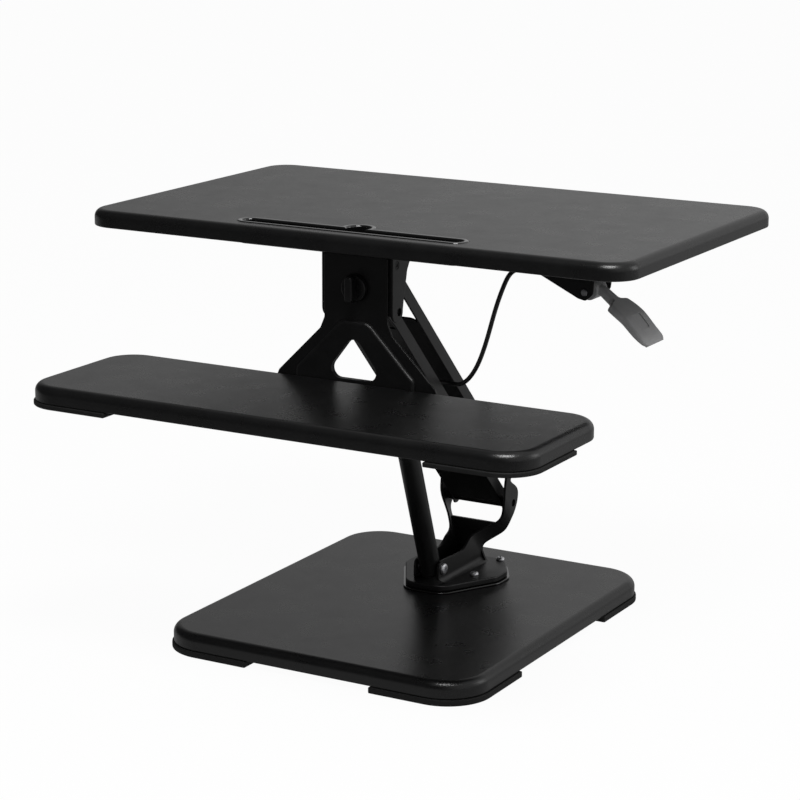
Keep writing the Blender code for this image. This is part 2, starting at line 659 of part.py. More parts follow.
bracket_bores = bmesh.new()
for place in (top_pivot, top_pivot_rear):
    prism(circle((place.y, place.z), pin_hole), -2 * BRACKET_HALF, 2 * BRACKET_HALF, "X", bracket_bores)
cut(top_bracket, bracket_bores)
knob_z = desk_low - KNOB_BELOW_DESK
stud_hole = STUD_RADIUS + PIN_PLAY
cut(top_bracket, prism(circle((0, knob_z), stud_hole), bracket_face - SHEET, bracket_face + 3 * SHEET, "Y"))
mount_x = MOUNT_PLATE_HALF - 0.014
mount_places = [(x, y) for x in (-mount_x, mount_x)
                for y in (rail_front + 0.015, rail_back - 0.015)]
screw_holes(top_bracket, mount_places, plate_low - BOARD, plate_top + BOARD / 4)
hang(top_bracket, desk_carrier)
desk_screw_depth = ARM_SHEET + 0.011
for made in screws("desk_screw", mount_places, plate_low, -1, desk_screw_depth):
    hang(made, desk_carrier)
for name, place in (("front_top_pin", top_pivot), ("rear_top_pin", top_pivot_rear)):
    hang(pin(name, place), desk_carrier)


# Desktop with the device slot let into it
def slot_outline(inset):
    # A long slot with round ends and a round pocket behind its middle.
    radius = SLOT_WIDTH / 2 - inset
    cup = CUP_RADIUS - inset
    half = SLOT_HALF - inset - radius
    meet = degrees(asin((radius - CUP_BACK) / cup))
    points = arc((SLOT_X + half, slot_y), radius, -90, 90, 8)
    points += arc((SLOT_X, slot_y + CUP_BACK), cup, meet, 180 - meet, 12)
    points += arc((SLOT_X - half, slot_y), radius, 90, 270, 8)
    return points


desk_board = board("desk_board", DESK_WIDTH, DESK_DEPTH, DESK_CORNER, desk_middle, desk_low)
cut(desk_board, prism(slot_outline(SLOT_RIM / 2 - GAP), desk_low - BOARD, desk_top - SLOT_RIM_HEIGHT))
cut(desk_board, prism(slot_outline(-GAP), desk_top - SLOT_RIM_HEIGHT - 2 * GAP, desk_top + BOARD))
insert_low = desk_low - SLOT_BELOW
rim_low = desk_top - SLOT_RIM_HEIGHT - GAP
rim_top = desk_top - GAP
insert_levels = [(SLOT_RIM / 2, insert_low), (SLOT_RIM / 2, rim_low), (0.0, rim_low), (0.0, rim_top - 0.0006),
                 (0.0006, rim_top), (SLOT_RIM * 0.75, rim_top), (SLOT_RIM, rim_top - SLOT_RIM / 4),
                 (SLOT_RIM, insert_low + SLOT_FLOOR)]
insert_shape = loft(bmesh.new(), [[(x, y, z) for x, y in slot_outline(i)] for i, z in insert_levels])
slot_insert = add_object("slot_insert", insert_shape, GLOSS_PLASTIC)
screw_holes(desk_board, mount_places, desk_low - BOARD, desk_low + SCREW_DEPTH)
hang(desk_board, desk_carrier)
hang(slot_insert, desk_carrier)

# Tray hanger: a plate with an embossed arch, a triangular opening and a shelf under the tray
hanger_top = channel_top - 0.001
shelf_top = tray_low - GAP
shelf_low = shelf_top - HANGER_SHEET


def mirrored(right):
    return right + [(-x, z) for x, z in reversed(right)]


hanger_sheet = mirrored([(HANGER_FOOT_HALF, shelf_low), (HANGER_FOOT_HALF, tray_top - 0.006),
                         (HANGER_FOOT_HALF - 0.003, tray_top + 0.001), (HANGER_NECK_HALF + 0.005, uz - 0.022),
                         (HANGER_NECK_HALF, uz - 0.010), (HANGER_NECK_HALF, hanger_top)])
tray_bracket = add_object("tray_bracket", prism(hanger_sheet, hanger_face, hanger_back, "Y"), BLACK_COAT)
arch = mirrored([(EMBOSS_FOOT_HALF, shelf_low + HANGER_SHEET / 2), (EMBOSS_FOOT_HALF, tray_top + 0.0075),
                 (EMBOSS_FOOT_HALF - 0.007, tray_top + 0.014), (EMBOSS_CROWN_HALF + 0.007, uz - 0.014),
                 (EMBOSS_CROWN_HALF, uz - 0.0105)])
fuse(tray_bracket, prism(arch, hanger_face - EMBOSS, hanger_face + HANGER_SHEET / 2, "Y"))
shelf_half = HANGER_FOOT_HALF - skin
shelf = rectangle(-shelf_half, shelf_half, hanger_face - HANGER_SHELF, hanger_back - skin)
fuse(tray_bracket, prism(rounded(shelf, (0.010, 0.010, 0.0005, 0.0005)), shelf_low + skin, shelf_top))
hole_low = tray_top + 0.001
opening = [(-HANGER_HOLE_HALF, hole_low), (HANGER_HOLE_HALF, hole_low), (0, hole_low + HANGER_HOLE_HEIGHT)]
cut(tray_bracket, prism(rounded(opening, 0.010, 6), hanger_face - 2 * EMBOSS, hanger_back + SHEET, "Y"))
cut(tray_bracket, prism(circle((0, knob_z), stud_hole), hanger_face - SHEET, hanger_back + SHEET, "Y"))
tray_screw_places = [(x, hanger_face - y) for x in (-HANGER_FOOT_HALF + 0.016, HANGER_FOOT_HALF - 0.016)
                     for y in (0.018, HANGER_SHELF - 0.012)]
screw_holes(tray_bracket, tray_screw_places, shelf_low - BOARD / 4, shelf_top + BOARD / 4)
hang(tray_bracket, desk_carrier)

tray_board = board("tray_board", TRAY_WIDTH, TRAY_DEPTH, TRAY_CORNER, tray_middle, tray_low)
screw_holes(tray_board, tray_screw_places, tray_low - BOARD, tray_low + SCREW_DEPTH)
hang(tray_board, desk_carrier)
for made in screws("tray_screw", tray_screw_places, shelf_low, -1, HANGER_SHEET + 0.011):
    hang(made, desk_carrier)
for side, hand in ((-1, "left"), (1, "right")):
    foot = corner_foot("tray_foot_" + hand, TRAY_WIDTH / 2, tray_back - TRAY_DEPTH, TRAY_CORNER, side,
                       TRAY_FOOT_FRONT, TRAY_FOOT_SIDE, tray_low - TRAY_FOOT_HEIGHT - GAP, tray_low - GAP)
    hang(foot, desk_carrier)

# Clamp knob on the hanger: skirt, grip bar and its stud, with a nut behind the bracket
knob_carrier = carrier("knob_axis", (0, hanger_face, knob_z))
knob_seat = hanger_face - GAP
grip_face = knob_seat - KNOB_SKIRT - KNOB_GRIP
knob_shape = prism(circle((0, knob_z), KNOB_RADIUS, TUBE_SIDES), knob_seat - KNOB_SKIRT, knob_seat, "Y")
tray_knob = add_object("tray_knob", knob_shape, BLACK_PLASTIC)
bar = rectangle(-KNOB_GRIP_HALF, KNOB_GRIP_HALF, knob_z - KNOB_RADIUS * 0.94, knob_z + KNOB_RADIUS * 0.94)
fuse(tray_knob, prism(rounded(bar, 0.0035), grip_face, knob_seat - KNOB_SKIRT / 2, "Y"))
cut(tray_knob, prism(circle((0, knob_z), stud_hole), knob_seat - KNOB_SKIRT, knob_seat + SHEET, "Y"))
hang(tray_knob, knob_carrier)
stud_end = bracket_face + SHEET + 0.010
stud = prism(circle((0, knob_z), STUD_RADIUS), knob_seat - KNOB_SKIRT + GAP, stud_end, "Y")
hang(add_object("knob_stud", stud, ZINC), knob_carrier)
nut_seat = bracket_face + skin + SHEET + GAP
nut = add_object("knob_nut", prism(circle((0, knob_z), 0.0058, 6), nut_seat, nut_seat + 0.005, "Y"), ZINC)
cut(nut, prism(circle((0, knob_z), stud_hole), nut_seat - SHEET, nut_seat + 2 * SHEET, "Y"))
hang(nut, desk_carrier)

# Lever bracket: two side plates, a foot plate under the desktop and a stop plate for the cable
px, py, pz = lever_pivot
bracket_top = desk_low - GAP
plate_half = LEVER_BRACKET_HALF
sheet_top = bracket_top - LEVER_SHEET / 2
tail_x = px - LEVER_BRACKET_TAIL
nose_x = px + LEVER_BRACKET_NOSE
stop_x = px - CABLE_STOP
side_plate = [(tail_x, sheet_top), (tail_x, bracket_top - 2 * LEVER_SHEET), (px - 0.007, pz - 0.0068),
              (px + 0.001, pz - 0.0085), (px + 0.009, pz - 0.002), (nose_x, bracket_top - 2 * LEVER_SHEET),
              (nose_x, sheet_top)]
foot = rounded(rectangle(tail_x - LEVER_SHEET, nose_x + LEVER_SHEET, py - plate_half - LEVER_FOOT,
                         py + plate_half + LEVER_FOOT), LEVER_FOOT / 2)
lever_bracket = add_object("lever_bracket", prism(foot, bracket_top - LEVER_SHEET, bracket_top), BLACK_COAT)
for side in (-1, 1):
    edges = sorted((py + side * plate_half, py + side * (plate_half - LEVER_SHEET)))
    fuse(lever_bracket, prism(side_plate, *edges, "Y"))
stop_reach = plate_half - LEVER_SHEET / 4
cable_z = pz + CABLE_ABOVE_LEVER
stop_low = cable_z - 3 * ADJUSTER_RADIUS
stop_plate = rectangle(py - stop_reach, py + stop_reach, stop_low, sheet_top)
fuse(lever_bracket, prism(stop_plate, stop_x, stop_x + LEVER_SHEET, "X"))
lever_hole = LEVER_PIN + PIN_PLAY
cut(lever_bracket, prism(circle((px, pz), lever_hole), py - 2 * plate_half, py + 2 * plate_half, "Y"))
cut(lever_bracket, prism(circle((py, cable_z), ADJUSTER_RADIUS + PIN_PLAY),
                         stop_x - LEVER_SHEET, stop_x + 2 * LEVER_SHEET, "X"))
lever_screw_places = [(x, py + side * (plate_half + LEVER_FOOT / 2))
                      for x in (tail_x + LEVER_FOOT, nose_x - LEVER_FOOT / 2) for side in (-1, 1)]
screw_holes(lever_bracket, lever_screw_places, bracket_top - BOARD / 4, bracket_top + BOARD / 4)
screw_holes(desk_board, lever_screw_places, desk_low - BOARD, desk_low + SCREW_DEPTH)
desk_board.children[-1].data.transform(Matrix.Translation(-desk_carrier.location))
hang(lever_bracket, desk_carrier)
lever_screw_seat = bracket_top - LEVER_SHEET
for made in screws("lever_screw", lever_screw_places, lever_screw_seat, -1, LEVER_SHEET + 0.011):
    hang(made, desk_carrier)

lever_pin = prism(circle((px, pz), LEVER_PIN), py - plate_half - 0.0012, py + plate_half + 0.0012, "Y")
hang(add_object("lever_pin", lever_pin, ZINC), desk_carrier)

# Lever: a hub on the pin, a neck and a paddle that slopes down and out.
# Each row gives the top face from the pivot, half the width and the thickness.
lever_carrier = carrier("lever_axis", lever_pivot)
paddle_rows = [
    (0.003, 0.008, LEVER_NECK_HALF, LEVER_THICK),
    (0.0124, 0.0033, LEVER_NECK_HALF, LEVER_THICK),
    (0.021, -0.0032, LEVER_NECK_HALF + 0.0015, LEVER_THICK),
    (0.031, -0.0104, LEVER_HALF - 0.0035, LEVER_THICK),
    (0.039, -0.0157, LEVER_HALF - 0.0005, LEVER_THICK - 0.0005),
    (0.0475, -0.0223, LEVER_HALF, LEVER_THICK - 0.001),
    (0.0588, -0.0345, LEVER_HALF, LEVER_THICK - 0.002),
    (0.0675, -0.0432, LEVER_HALF - 0.0015, LEVER_THICK - 0.0035),
    (0.0702, -0.0475, LEVER_HALF - 0.005, LEVER_THICK - 0.005),
]


def paddle_ring(index):
    x, z, half, thick = paddle_rows[index]
    after = paddle_rows[min(index + 1, len(paddle_rows) - 1)]
    before = paddle_rows[max(index - 1, 0)]
    along = Vector((after[0] - before[0], after[1] - before[1])).normalized()
    section = [(-0.9 * half, 0), (0.9 * half, 0), (half, 0.25 * thick), (half, 0.75 * thick),
               (0.92 * half, thick), (-0.92 * half, thick), (-half, 0.75 * thick), (-half, 0.25 * thick)]
    return [(px + x + along.y * deep, py + y, pz + z - along.x * deep) for y, deep in section]


lever_shape = loft(bmesh.new(), [paddle_ring(i) for i in range(len(paddle_rows))])
lever = add_object("lever", lever_shape, GREY_PLASTIC)
fuse(lever, prism(circle((px, pz), LEVER_HUB, TUBE_SIDES), py - LEVER_HUB_HALF, py + LEVER_HUB_HALF, "Y"))
cut(lever, prism(circle((px, pz), lever_hole), py - 2 * plate_half, py + 2 * plate_half, "Y"))
near, far = [Vector((px + row[0], py, pz + row[1])) for row in paddle_rows[5:7]]
slope = (far - near).normalized()
facing = Vector((-slope.z, 0, slope.x))
pad = prism(rounded(rectangle(-PAD_RUN, PAD_RUN, -PAD_HALF, PAD_HALF), PAD_RUN / 3), -PAD_DEEP, LEVER_THICK)
pad.transform(Matrix.Translation(near.lerp(far, 0.4))
              @ Matrix((slope, Vector((0, 1, 0)), facing)).transposed().to_4x4())
cut(lever, pad)
hang(lever, lever_carrier)

# Cable ferrule in the lever bracket's stop plate
ferrule_low = stop_x - 0.0145
flange_x = stop_x - 0.006
ferrule = lathe([(0, ferrule_low), (ADJUSTER_RADIUS, ferrule_low), (ADJUSTER_RADIUS, flange_x),
                 (0.0048, flange_x), (0.0048, stop_x - GAP), (ADJUSTER_RADIUS, stop_x - GAP),
                 (ADJUSTER_RADIUS, stop_x + 0.0045), (0.0010, stop_x + 0.0055), (0.0010, stop_x + 0.0215),
                 (0, stop_x + 0.0215)], 16)
ferrule.transform(Matrix.Translation((0, py, cable_z)) @ Matrix.Rotation(pi / 2, 4, "Y"))
hang(add_object("cable_ferrule", ferrule, STEEL), desk_carrier)

# Release cable: it drops from the lever's ferrule to the arm, passes over its flange and turns up
# to the adjuster.
arm_frame = Matrix.Translation(low_pivot) @ Matrix.Rotation(ARM_LEAN, 4, "X")
cable_start = Vector((ferrule_low - GAP, py, cable_z))
cable_drop = [(0.1480, -0.0405, 0.4080), (0.1365, -0.0400, 0.4025), (0.1285, -0.0360, 0.3900),
              (0.1183, -0.0300, 0.3706), (0.1080, -0.0220, 0.3490), (0.0972, -0.0140, 0.3218),
              (0.0846, -0.0060, 0.2957), (0.0745, -0.0008, 0.2810), (0.0640, 0.0045, 0.2700)]
cable_turn = arc((0.0399, 0.2419), 0.0189, 312, 180, 5)
turn_across = (0.0120, 0.0145, 0.0150, 0.0120, 0.0070, 0.0045)
cable_route = [cable_start, cable_start - Vector((0.010, 0, 0)), cable_start - Vector((0.020, 0, 0))]
cable_route += [Vector(place) for place in cable_drop]
cable_route += [arm_frame @ Vector((x, m, s)) for (x, s), m in zip(cable_turn, turn_across)]
cable_route += [arm_frame @ Vector((ADJUSTER_X, ADJUSTER_ACROSS, ADJUSTER_LOW - 0.007)),
                arm_frame @ Vector((ADJUSTER_X, ADJUSTER_ACROSS, ADJUSTER_LOW - GAP))]


def smooth_route(points, segments):
    # A uniform cubic B-spline, which starts and ends at the route's own ends.
    line = [2 * points[0] - points[1]] + points + [2 * points[-1] - points[-2]]
    read = []
    for a, b, c, d in zip(line, line[1:], line[2:], line[3:]):
        for k in range(segments):
            t = k / segments
            read.append(((1 - t) ** 3 * a + (3 * t ** 3 - 6 * t ** 2 + 4) * b
                         + (3 * t ** 2 + 3 * t - 3 * t ** 3 + 1) * c + t ** 3 * d) / 6)
    return read + [points[-1]]


curve = bpy.data.curves.new("release_cable", "CURVE")
curve.dimensions = "3D"
curve.bevel_depth = CABLE_RADIUS
curve.bevel_resolution = 2
curve.use_fill_caps = True
spline = curve.splines.new("POLY")
cable_points = smooth_route(cable_route, CABLE_SEGMENTS)
spline.points.add(len(cable_points) - 1)
for knot, place in zip(spline.points, cable_points):
    knot.co = (*(place - desk_carrier.location), 1)
curve.materials.append(BLACK_RUBBER)
release_cable = bpy.data.objects.new("release_cable", curve)
bpy.context.scene.collection.objects.link(release_cable)
release_cable.parent = desk_carrier

# Everything stands on the feet, with the middle of the overall depth over the origin.
tray_nose = tray_back - TRAY_DEPTH - FOOT_PROUD
stand = carrier("stand", (0, -(tray_nose + desk_front + DESK_DEPTH) / 2, FOOT_HEIGHT + GAP))
for made in bpy.data.objects:
    if made.parent is None and made is not stand:
        made.parent = stand
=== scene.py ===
import bpy
import bmesh
import json
from functools import partial
from math import asin, atan2, cos, degrees, pi, radians, sin
from mathutils import Matrix, Vector

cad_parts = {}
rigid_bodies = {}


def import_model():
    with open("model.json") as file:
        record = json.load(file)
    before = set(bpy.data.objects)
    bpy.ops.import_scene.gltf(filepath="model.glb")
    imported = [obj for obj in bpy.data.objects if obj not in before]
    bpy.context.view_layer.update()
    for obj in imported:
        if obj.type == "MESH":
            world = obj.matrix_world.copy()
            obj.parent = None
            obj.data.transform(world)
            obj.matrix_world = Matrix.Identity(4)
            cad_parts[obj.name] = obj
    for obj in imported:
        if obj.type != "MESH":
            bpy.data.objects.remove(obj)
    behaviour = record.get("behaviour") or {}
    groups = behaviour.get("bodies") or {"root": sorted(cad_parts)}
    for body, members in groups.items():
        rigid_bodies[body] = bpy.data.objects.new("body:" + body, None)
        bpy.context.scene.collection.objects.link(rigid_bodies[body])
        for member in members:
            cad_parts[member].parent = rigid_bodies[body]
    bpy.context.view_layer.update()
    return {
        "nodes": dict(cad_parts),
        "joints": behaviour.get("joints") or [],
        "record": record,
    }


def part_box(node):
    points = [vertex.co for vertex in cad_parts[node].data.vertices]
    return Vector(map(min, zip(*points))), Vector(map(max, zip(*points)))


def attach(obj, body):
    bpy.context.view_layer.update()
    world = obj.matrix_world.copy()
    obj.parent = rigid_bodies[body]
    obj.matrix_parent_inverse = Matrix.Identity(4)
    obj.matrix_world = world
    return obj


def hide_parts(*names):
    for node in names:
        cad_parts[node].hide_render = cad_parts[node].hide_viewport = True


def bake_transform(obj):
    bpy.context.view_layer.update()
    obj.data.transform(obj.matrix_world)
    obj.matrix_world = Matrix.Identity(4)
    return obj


for old in list(bpy.data.objects):
    bpy.data.objects.remove(old, do_unlink=True)
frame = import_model()
nodes = frame["nodes"]
scene = bpy.context.scene
pivot = {joint["name"]: Vector(joint["pos_m"]) for joint in frame["joints"]}
slotOf = {item["node"]: item["material_slot"] for item in frame["record"]["subparts"]}
gap = 0.0003  # left between pieces that touch
nudge = 0.0003  # keeps faces that are joined from lying in one plane
print("frame loaded:", len(nodes), "nodes")

# camera at the photograph's angle
view = {"place": (1.3000, -2.30145, 0.9058), "yaw": 29.37, "pitch": 13.82, "roll": 0.26,
        "lens": 115.27, "shift": (0.5 / 800, 1.3 / 800)}
camData = bpy.data.cameras.new("camera")
camData.lens = view["lens"]
camData.sensor_width = 36
camData.shift_x, camData.shift_y = view["shift"]
camera = bpy.data.objects.new("camera", camData)
scene.collection.objects.link(camera)
turn = Matrix.Rotation(radians(view["yaw"]), 4, "Z") @ Matrix.Rotation(radians(90 - view["pitch"]), 4, "X")
turn = turn @ Matrix.Rotation(radians(view["roll"]), 4, "Z")
camera.matrix_world = Matrix.Translation(view["place"]) @ turn
scene.camera = camera
print("camera set")


# nodes: an input takes a value or another node's output
def setSocket(tree, socket, value):
    if isinstance(value, bpy.types.NodeSocket):
        tree.links.new(value, socket)
    else:
        socket.default_value = value


def addNode(tree, kind, settings=None, **inputs):
    made = tree.nodes.new(kind)
    for key, value in (settings or {}).items():
        setattr(made, key, value)
    for key, value in inputs.items():
        setSocket(tree, made.inputs[key.replace("_", " ")], value)
    return made


def maths(tree, operation, a, b=0.0):
    made = addNode(tree, "ShaderNodeMath", {"operation": operation})
    for socket, value in zip(made.inputs, (a, b)):
        setSocket(tree, socket, value)
    return made.outputs[0]


def mapRange(tree, value, start, stop):
    made = addNode(tree, "ShaderNodeMapRange", Value=value, From_Min=start[0], From_Max=start[1],
                   To_Min=stop[0], To_Max=stop[1])
    return made.outputs["Result"]


# finishes: tone, roughness and a fine relief all come from noise on object coordinates
# a tone is grey and blue, a relief is kind, scale, strength and depth, a fleck is scale, grey and blue
patches = {"tones": (0.32, 0.68), "wear": (0.3, 0.7), "fleck": (0.58, 0.72), "detail": 8, "roughness": 0.62}


def makeFinish(name, tones, rough, cloud, relief, metal=0.0, coat=0.0, specular=0.5, fleck=None,
               stretch=(1, 1, 1)):
    made = bpy.data.materials.new(name)
    made.use_nodes = True
    tree = made.node_tree
    where = addNode(tree, "ShaderNodeTexCoord").outputs["Object"]
    drift = addNode(tree, "ShaderNodeTexNoise", Vector=where, Scale=cloud, Detail=patches["detail"],
                    Roughness=patches["roughness"]).outputs["Fac"]
    ramp = addNode(tree, "ShaderNodeValToRGB", Fac=drift)
    for end, position, (grey, blue) in zip(ramp.color_ramp.elements, patches["tones"], tones):
        end.position = position
        end.color = (grey, grey, blue, 1)
    colour = ramp.outputs["Color"]
    if fleck:
        scale, grey, blue = fleck
        grit = addNode(tree, "ShaderNodeTexNoise", Vector=where, Scale=scale, Detail=2).outputs["Fac"]
        blend = addNode(tree, "ShaderNodeMix", {"data_type": "RGBA"})
        setSocket(tree, blend.inputs[0], mapRange(tree, grit, patches["fleck"], (0, 1)))
        setSocket(tree, blend.inputs[6], colour)  # the node's first and second colour
        setSocket(tree, blend.inputs[7], (grey, grey, blue, 1))
        colour = blend.outputs[2]
    normal = None
    for kind, scale, strength, depth in relief:
        stretched = addNode(tree, "ShaderNodeMapping", Vector=where, Scale=stretch).outputs["Vector"]
        if kind == "pebble":
            height = addNode(tree, "ShaderNodeTexVoronoi", Vector=stretched, Scale=scale).outputs["Distance"]
        else:
            height = addNode(tree, "ShaderNodeTexNoise", Vector=stretched, Scale=scale).outputs["Fac"]
        bump = addNode(tree, "ShaderNodeBump", Strength=strength, Distance=depth, Height=height)
        if normal:
            setSocket(tree, bump.inputs["Normal"], normal)
        normal = bump.outputs["Normal"]
    skin = {"Base Color": colour, "Roughness": mapRange(tree, drift, patches["wear"], rough),
            "Normal": normal, "Metallic": metal, "Coat Weight": coat, "Specular IOR Level": specular}
    for label, value in skin.items():
        setSocket(tree, tree.nodes["Principled BSDF"].inputs[label], value)
    return made


looks = {
    "board": makeFinish("blackGrainedFoil", ((0.0034, 0.0035), (0.0048, 0.0050)), (0.26, 0.31), 30,
                        [("pebble", 900, 0.17, 0.0004), ("noise", 2200, 0.13, 0.0003)],
                        fleck=(900, 0.0090, 0.0092)),
    "coat": makeFinish("blackPowderCoat", ((0.0036, 0.0037), (0.0052, 0.0054)), (0.36, 0.43), 60,
                       [("noise", 1500, 0.22, 0.0003)], specular=0.42, fleck=(1600, 0.0085, 0.0087)),
    "rubber": makeFinish("mattRubber", ((0.0055, 0.0055), (0.0078, 0.0078)), (0.60, 0.72), 80,
                         [("noise", 1100, 0.25, 0.0004)], specular=0.3),
    "zinc": makeFinish("brightZinc", ((0.55, 0.57), (0.68, 0.70)), (0.30, 0.40), 300,
                       [("noise", 1400, 0.10, 0.0002)], metal=1.0),
    "steel": makeFinish("turnedSteel", ((0.20, 0.21), (0.28, 0.29)), (0.28, 0.38), 300,
                        [("noise", 1400, 0.12, 0.0002)], metal=1.0),
    "rod": makeFinish("hardChrome", ((0.42, 0.44), (0.50, 0.52)), (0.10, 0.16), 120,
                      [("noise", 900, 0.04, 0.0002)], metal=1.0, stretch=(1, 1, 12)),
    "gloss": makeFinish("glossBlackPlastic", ((0.0032, 0.0033), (0.0045, 0.0046)), (0.08, 0.13), 40,
                        [("noise", 240, 0.03, 0.0003)], coat=0.8),
    "lever_plastic": makeFinish("texturedLeverPlastic", ((0.200, 0.202), (0.235, 0.238)), (0.40, 0.48), 90,
                                [("pebble", 1500, 0.22, 0.0003)], fleck=(1500, 0.250, 0.253)),
    "knob_plastic": makeFinish("satinBlackPlastic", ((0.0040, 0.0041), (0.0056, 0.0058)), (0.34, 0.42), 90,
                               [("noise", 1300, 0.15, 0.0002)], specular=0.4),
    "jacket": makeFinish("cableJacket", ((0.0045, 0.0045), (0.0062, 0.0062)), (0.34, 0.42), 120,
                         [("noise", 900, 0.12, 0.0002)], specular=0.4),
}
for name, node in nodes.items():
    node.data.materials.clear()
    node.data.materials.append(looks[slotOf[name]])
print("finishes made:", len(looks))


# outlines and simple solids
def arc(centre, radius, start, stop, steps):
    turns = [radians(start + (stop - start) * i / steps) for i in range(steps + 1)]
    return [(centre[0] + radius * cos(t), centre[1] + radius * sin(t)) for t in turns]


def quarter(steps, first=0):  # angles of a quarter turn
    return [pi / 2 * i / steps for i in range(first, steps + 1)]


def circle(centre, radius, sides=40):
    return arc(centre, radius, 0, 360 * (sides - 1) / sides, sides - 1)


def rectangle(left, right, low, high):
    return [(left, low), (right, low), (right, high), (left, high)]


def bothSides(right):  # adds the mirror image of an outline's right half
    return right + [(-x, y) for x, y in reversed(right)]


def rounded(corners, radius, steps=8):
    points = []
    count = len(corners)
    radii = radius if isinstance(radius, (list, tuple)) else [radius] * count
    for i in range(count):
        here = Vector(corners[i])
        before = (Vector(corners[i - 1]) - here).normalized()
        after = (Vector(corners[(i + 1) % count]) - here).normalized()
        half = before.angle(after) / 2
        middle = here + (before + after).normalized() * radii[i] / sin(half)
        first = here + before * radii[i] * cos(half) / sin(half) - middle
        last = here + after * radii[i] * cos(half) / sin(half) - middle
        start = atan2(first.y, first.x)
        sweep = (atan2(last.y, last.x) - start + pi) % (2 * pi) - pi
        for k in range(steps + 1):
            bend = start + sweep * k / steps
            points.append((middle.x + radii[i] * cos(bend), middle.y + radii[i] * sin(bend)))
    return points


def eased(points, rounds=2):  # cuts an outline's corners, as filing them would
    for _ in range(rounds):
        cutLine = []
        for (ax, ay), (bx, by) in zip(points, points[1:] + points[:1]):
            cutLine += [(ax * (1 - s) + bx * s, ay * (1 - s) + by * s) for s in (0.25, 0.75)]
        points = cutLine
    return points


def spline(line, steps, mix):  # mixes each four neighbours in turn
    held = [2 * line[0] - line[1]] + line + [2 * line[-1] - line[-2]]
    fours = zip(held, held[1:], held[2:], held[3:])
    return [mix(*four, k / steps) for four in fours for k in range(steps)] + [line[-1]]


def passBy(a, b, c, d, t):  # uniform cubic B-spline
    return ((1 - t) ** 3 * a + (3 * t ** 3 - 6 * t ** 2 + 4) * b
            + (3 * t ** 2 + 3 * t - 3 * t ** 3 + 1) * c + t ** 3 * d) / 6


def passThrough(a, b, c, d, t):  # touches every point
    return 0.5 * (2 * b + (c - a) * t + (2 * a - 5 * b + 4 * c - d) * t ** 2
                  + (3 * b - a - 3 * c + d) * t ** 3)


def loft(rings):
    shape = bmesh.new()
    rows = [[shape.verts.new(point) for point in ring] for ring in rings]
    for low, high in zip(rows, rows[1:]):
        for i in range(len(low)):
            j = (i + 1) % len(low)
            shape.faces.new((low[i], low[j], high[j], high[i]))
    shape.faces.new(list(reversed(rows[0])))
    shape.faces.new(rows[-1])
    bmesh.ops.recalc_face_normals(shape, faces=shape.faces)
    return shape


def bevelled(shape, edges, width, steps):
    bmesh.ops.bevel(shape, geom=edges, offset=width, offset_type="OFFSET", segments=steps, profile=0.5,
                    affect="EDGES", clamp_overlap=False)
    return shape


def softened(shape, width, steps=3, angle=40):
    sharp = [edge for edge in shape.edges
             if len(edge.link_faces) == 2 and edge.calc_face_angle() > radians(angle)]
    return bevelled(shape, sharp, width, steps)


def prism(points, low, high, axis="Z", soft=0.0, steps=3):
    order = {"X": (2, 0, 1), "Y": (0, 2, 1), "Z": (0, 1, 2)}[axis]
    shape = loft([[[(u, v, w)[i] for i in order] for u, v in points] for w in (low, high)])
    return softened(shape, soft, steps) if soft else shape


def plates(points, inner, outer, soft=0.0, steps=3):  # the same plate on both sides of the middle
    return [prism(points, *sorted((side * inner, side * outer)), "X", soft, steps) for side in (-1, 1)]


def lathe(profile, sides=48):  # turns a closed outline of radius and height pairs about Z
    shape = bmesh.new()
    rows = []
    for radius, height in profile:
        ring = [(0, 0)] if radius < 1e-9 else circle((0, 0), radius, sides)
        rows.append([shape.verts.new((x, y, height)) for x, y in ring])
    for low, high in zip(rows, rows[1:] + rows[:1]):
        if len(low) == 1 and len(high) == 1:
            continue
        for i in range(sides):
            j = (i + 1) % sides
            ring = [low[i % len(low)], low[j % len(low)], high[j % len(high)], high[i % len(high)]]
            shape.faces.new(list(dict.fromkeys(ring)))
    bmesh.ops.recalc_face_normals(shape, faces=shape.faces)
    return shape


def spindle(half, *ends):  # a pin's outline, the same at both ends, each point given by radius and depth
    low = [(radius, deep - half) for radius, deep in ends]
    return low + [(radius, -height) for radius, height in reversed(low)]


alongX = Matrix.Rotation(pi / 2, 4, "Y")
alongY = Matrix.Rotation(-pi / 2, 4, "X")


def moved(shape, matrix):
    shape.transform(matrix)
    return shape


# meshes, cuts and joins
def asObject(name, shape):
    mesh = bpy.data.meshes.new(name)
    shape.to_mesh(mesh)
    shape.free()
    made = bpy.data.objects.new(name, mesh)
    scene.collection.objects.link(made)
    return made


def settle(made):
    drawn = bpy.data.meshes.new_from_object(made.evaluated_get(bpy.context.evaluated_depsgraph_get()))
    made.modifiers.clear()
    made.data = drawn


def carve(made, shapes, operation):
    tools = [asObject(made.name + "Tool", shape) for shape in shapes]
    for tool in tools:
        step = made.modifiers.new("carve", "BOOLEAN")
        step.operation = operation
        step.solver = "EXACT"
        step.object = tool
    settle(made)
    for tool in tools:
        bpy.data.objects.remove(tool)


def cut(made, *shapes):
    carve(made, shapes, "DIFFERENCE")


def fuse(made, *shapes):
    carve(made, shapes, "UNION")


def nodeOf(name):  # frontArm stands for front_arm
    return "".join("_" + letter.lower() if letter.isupper() else letter for letter in name)


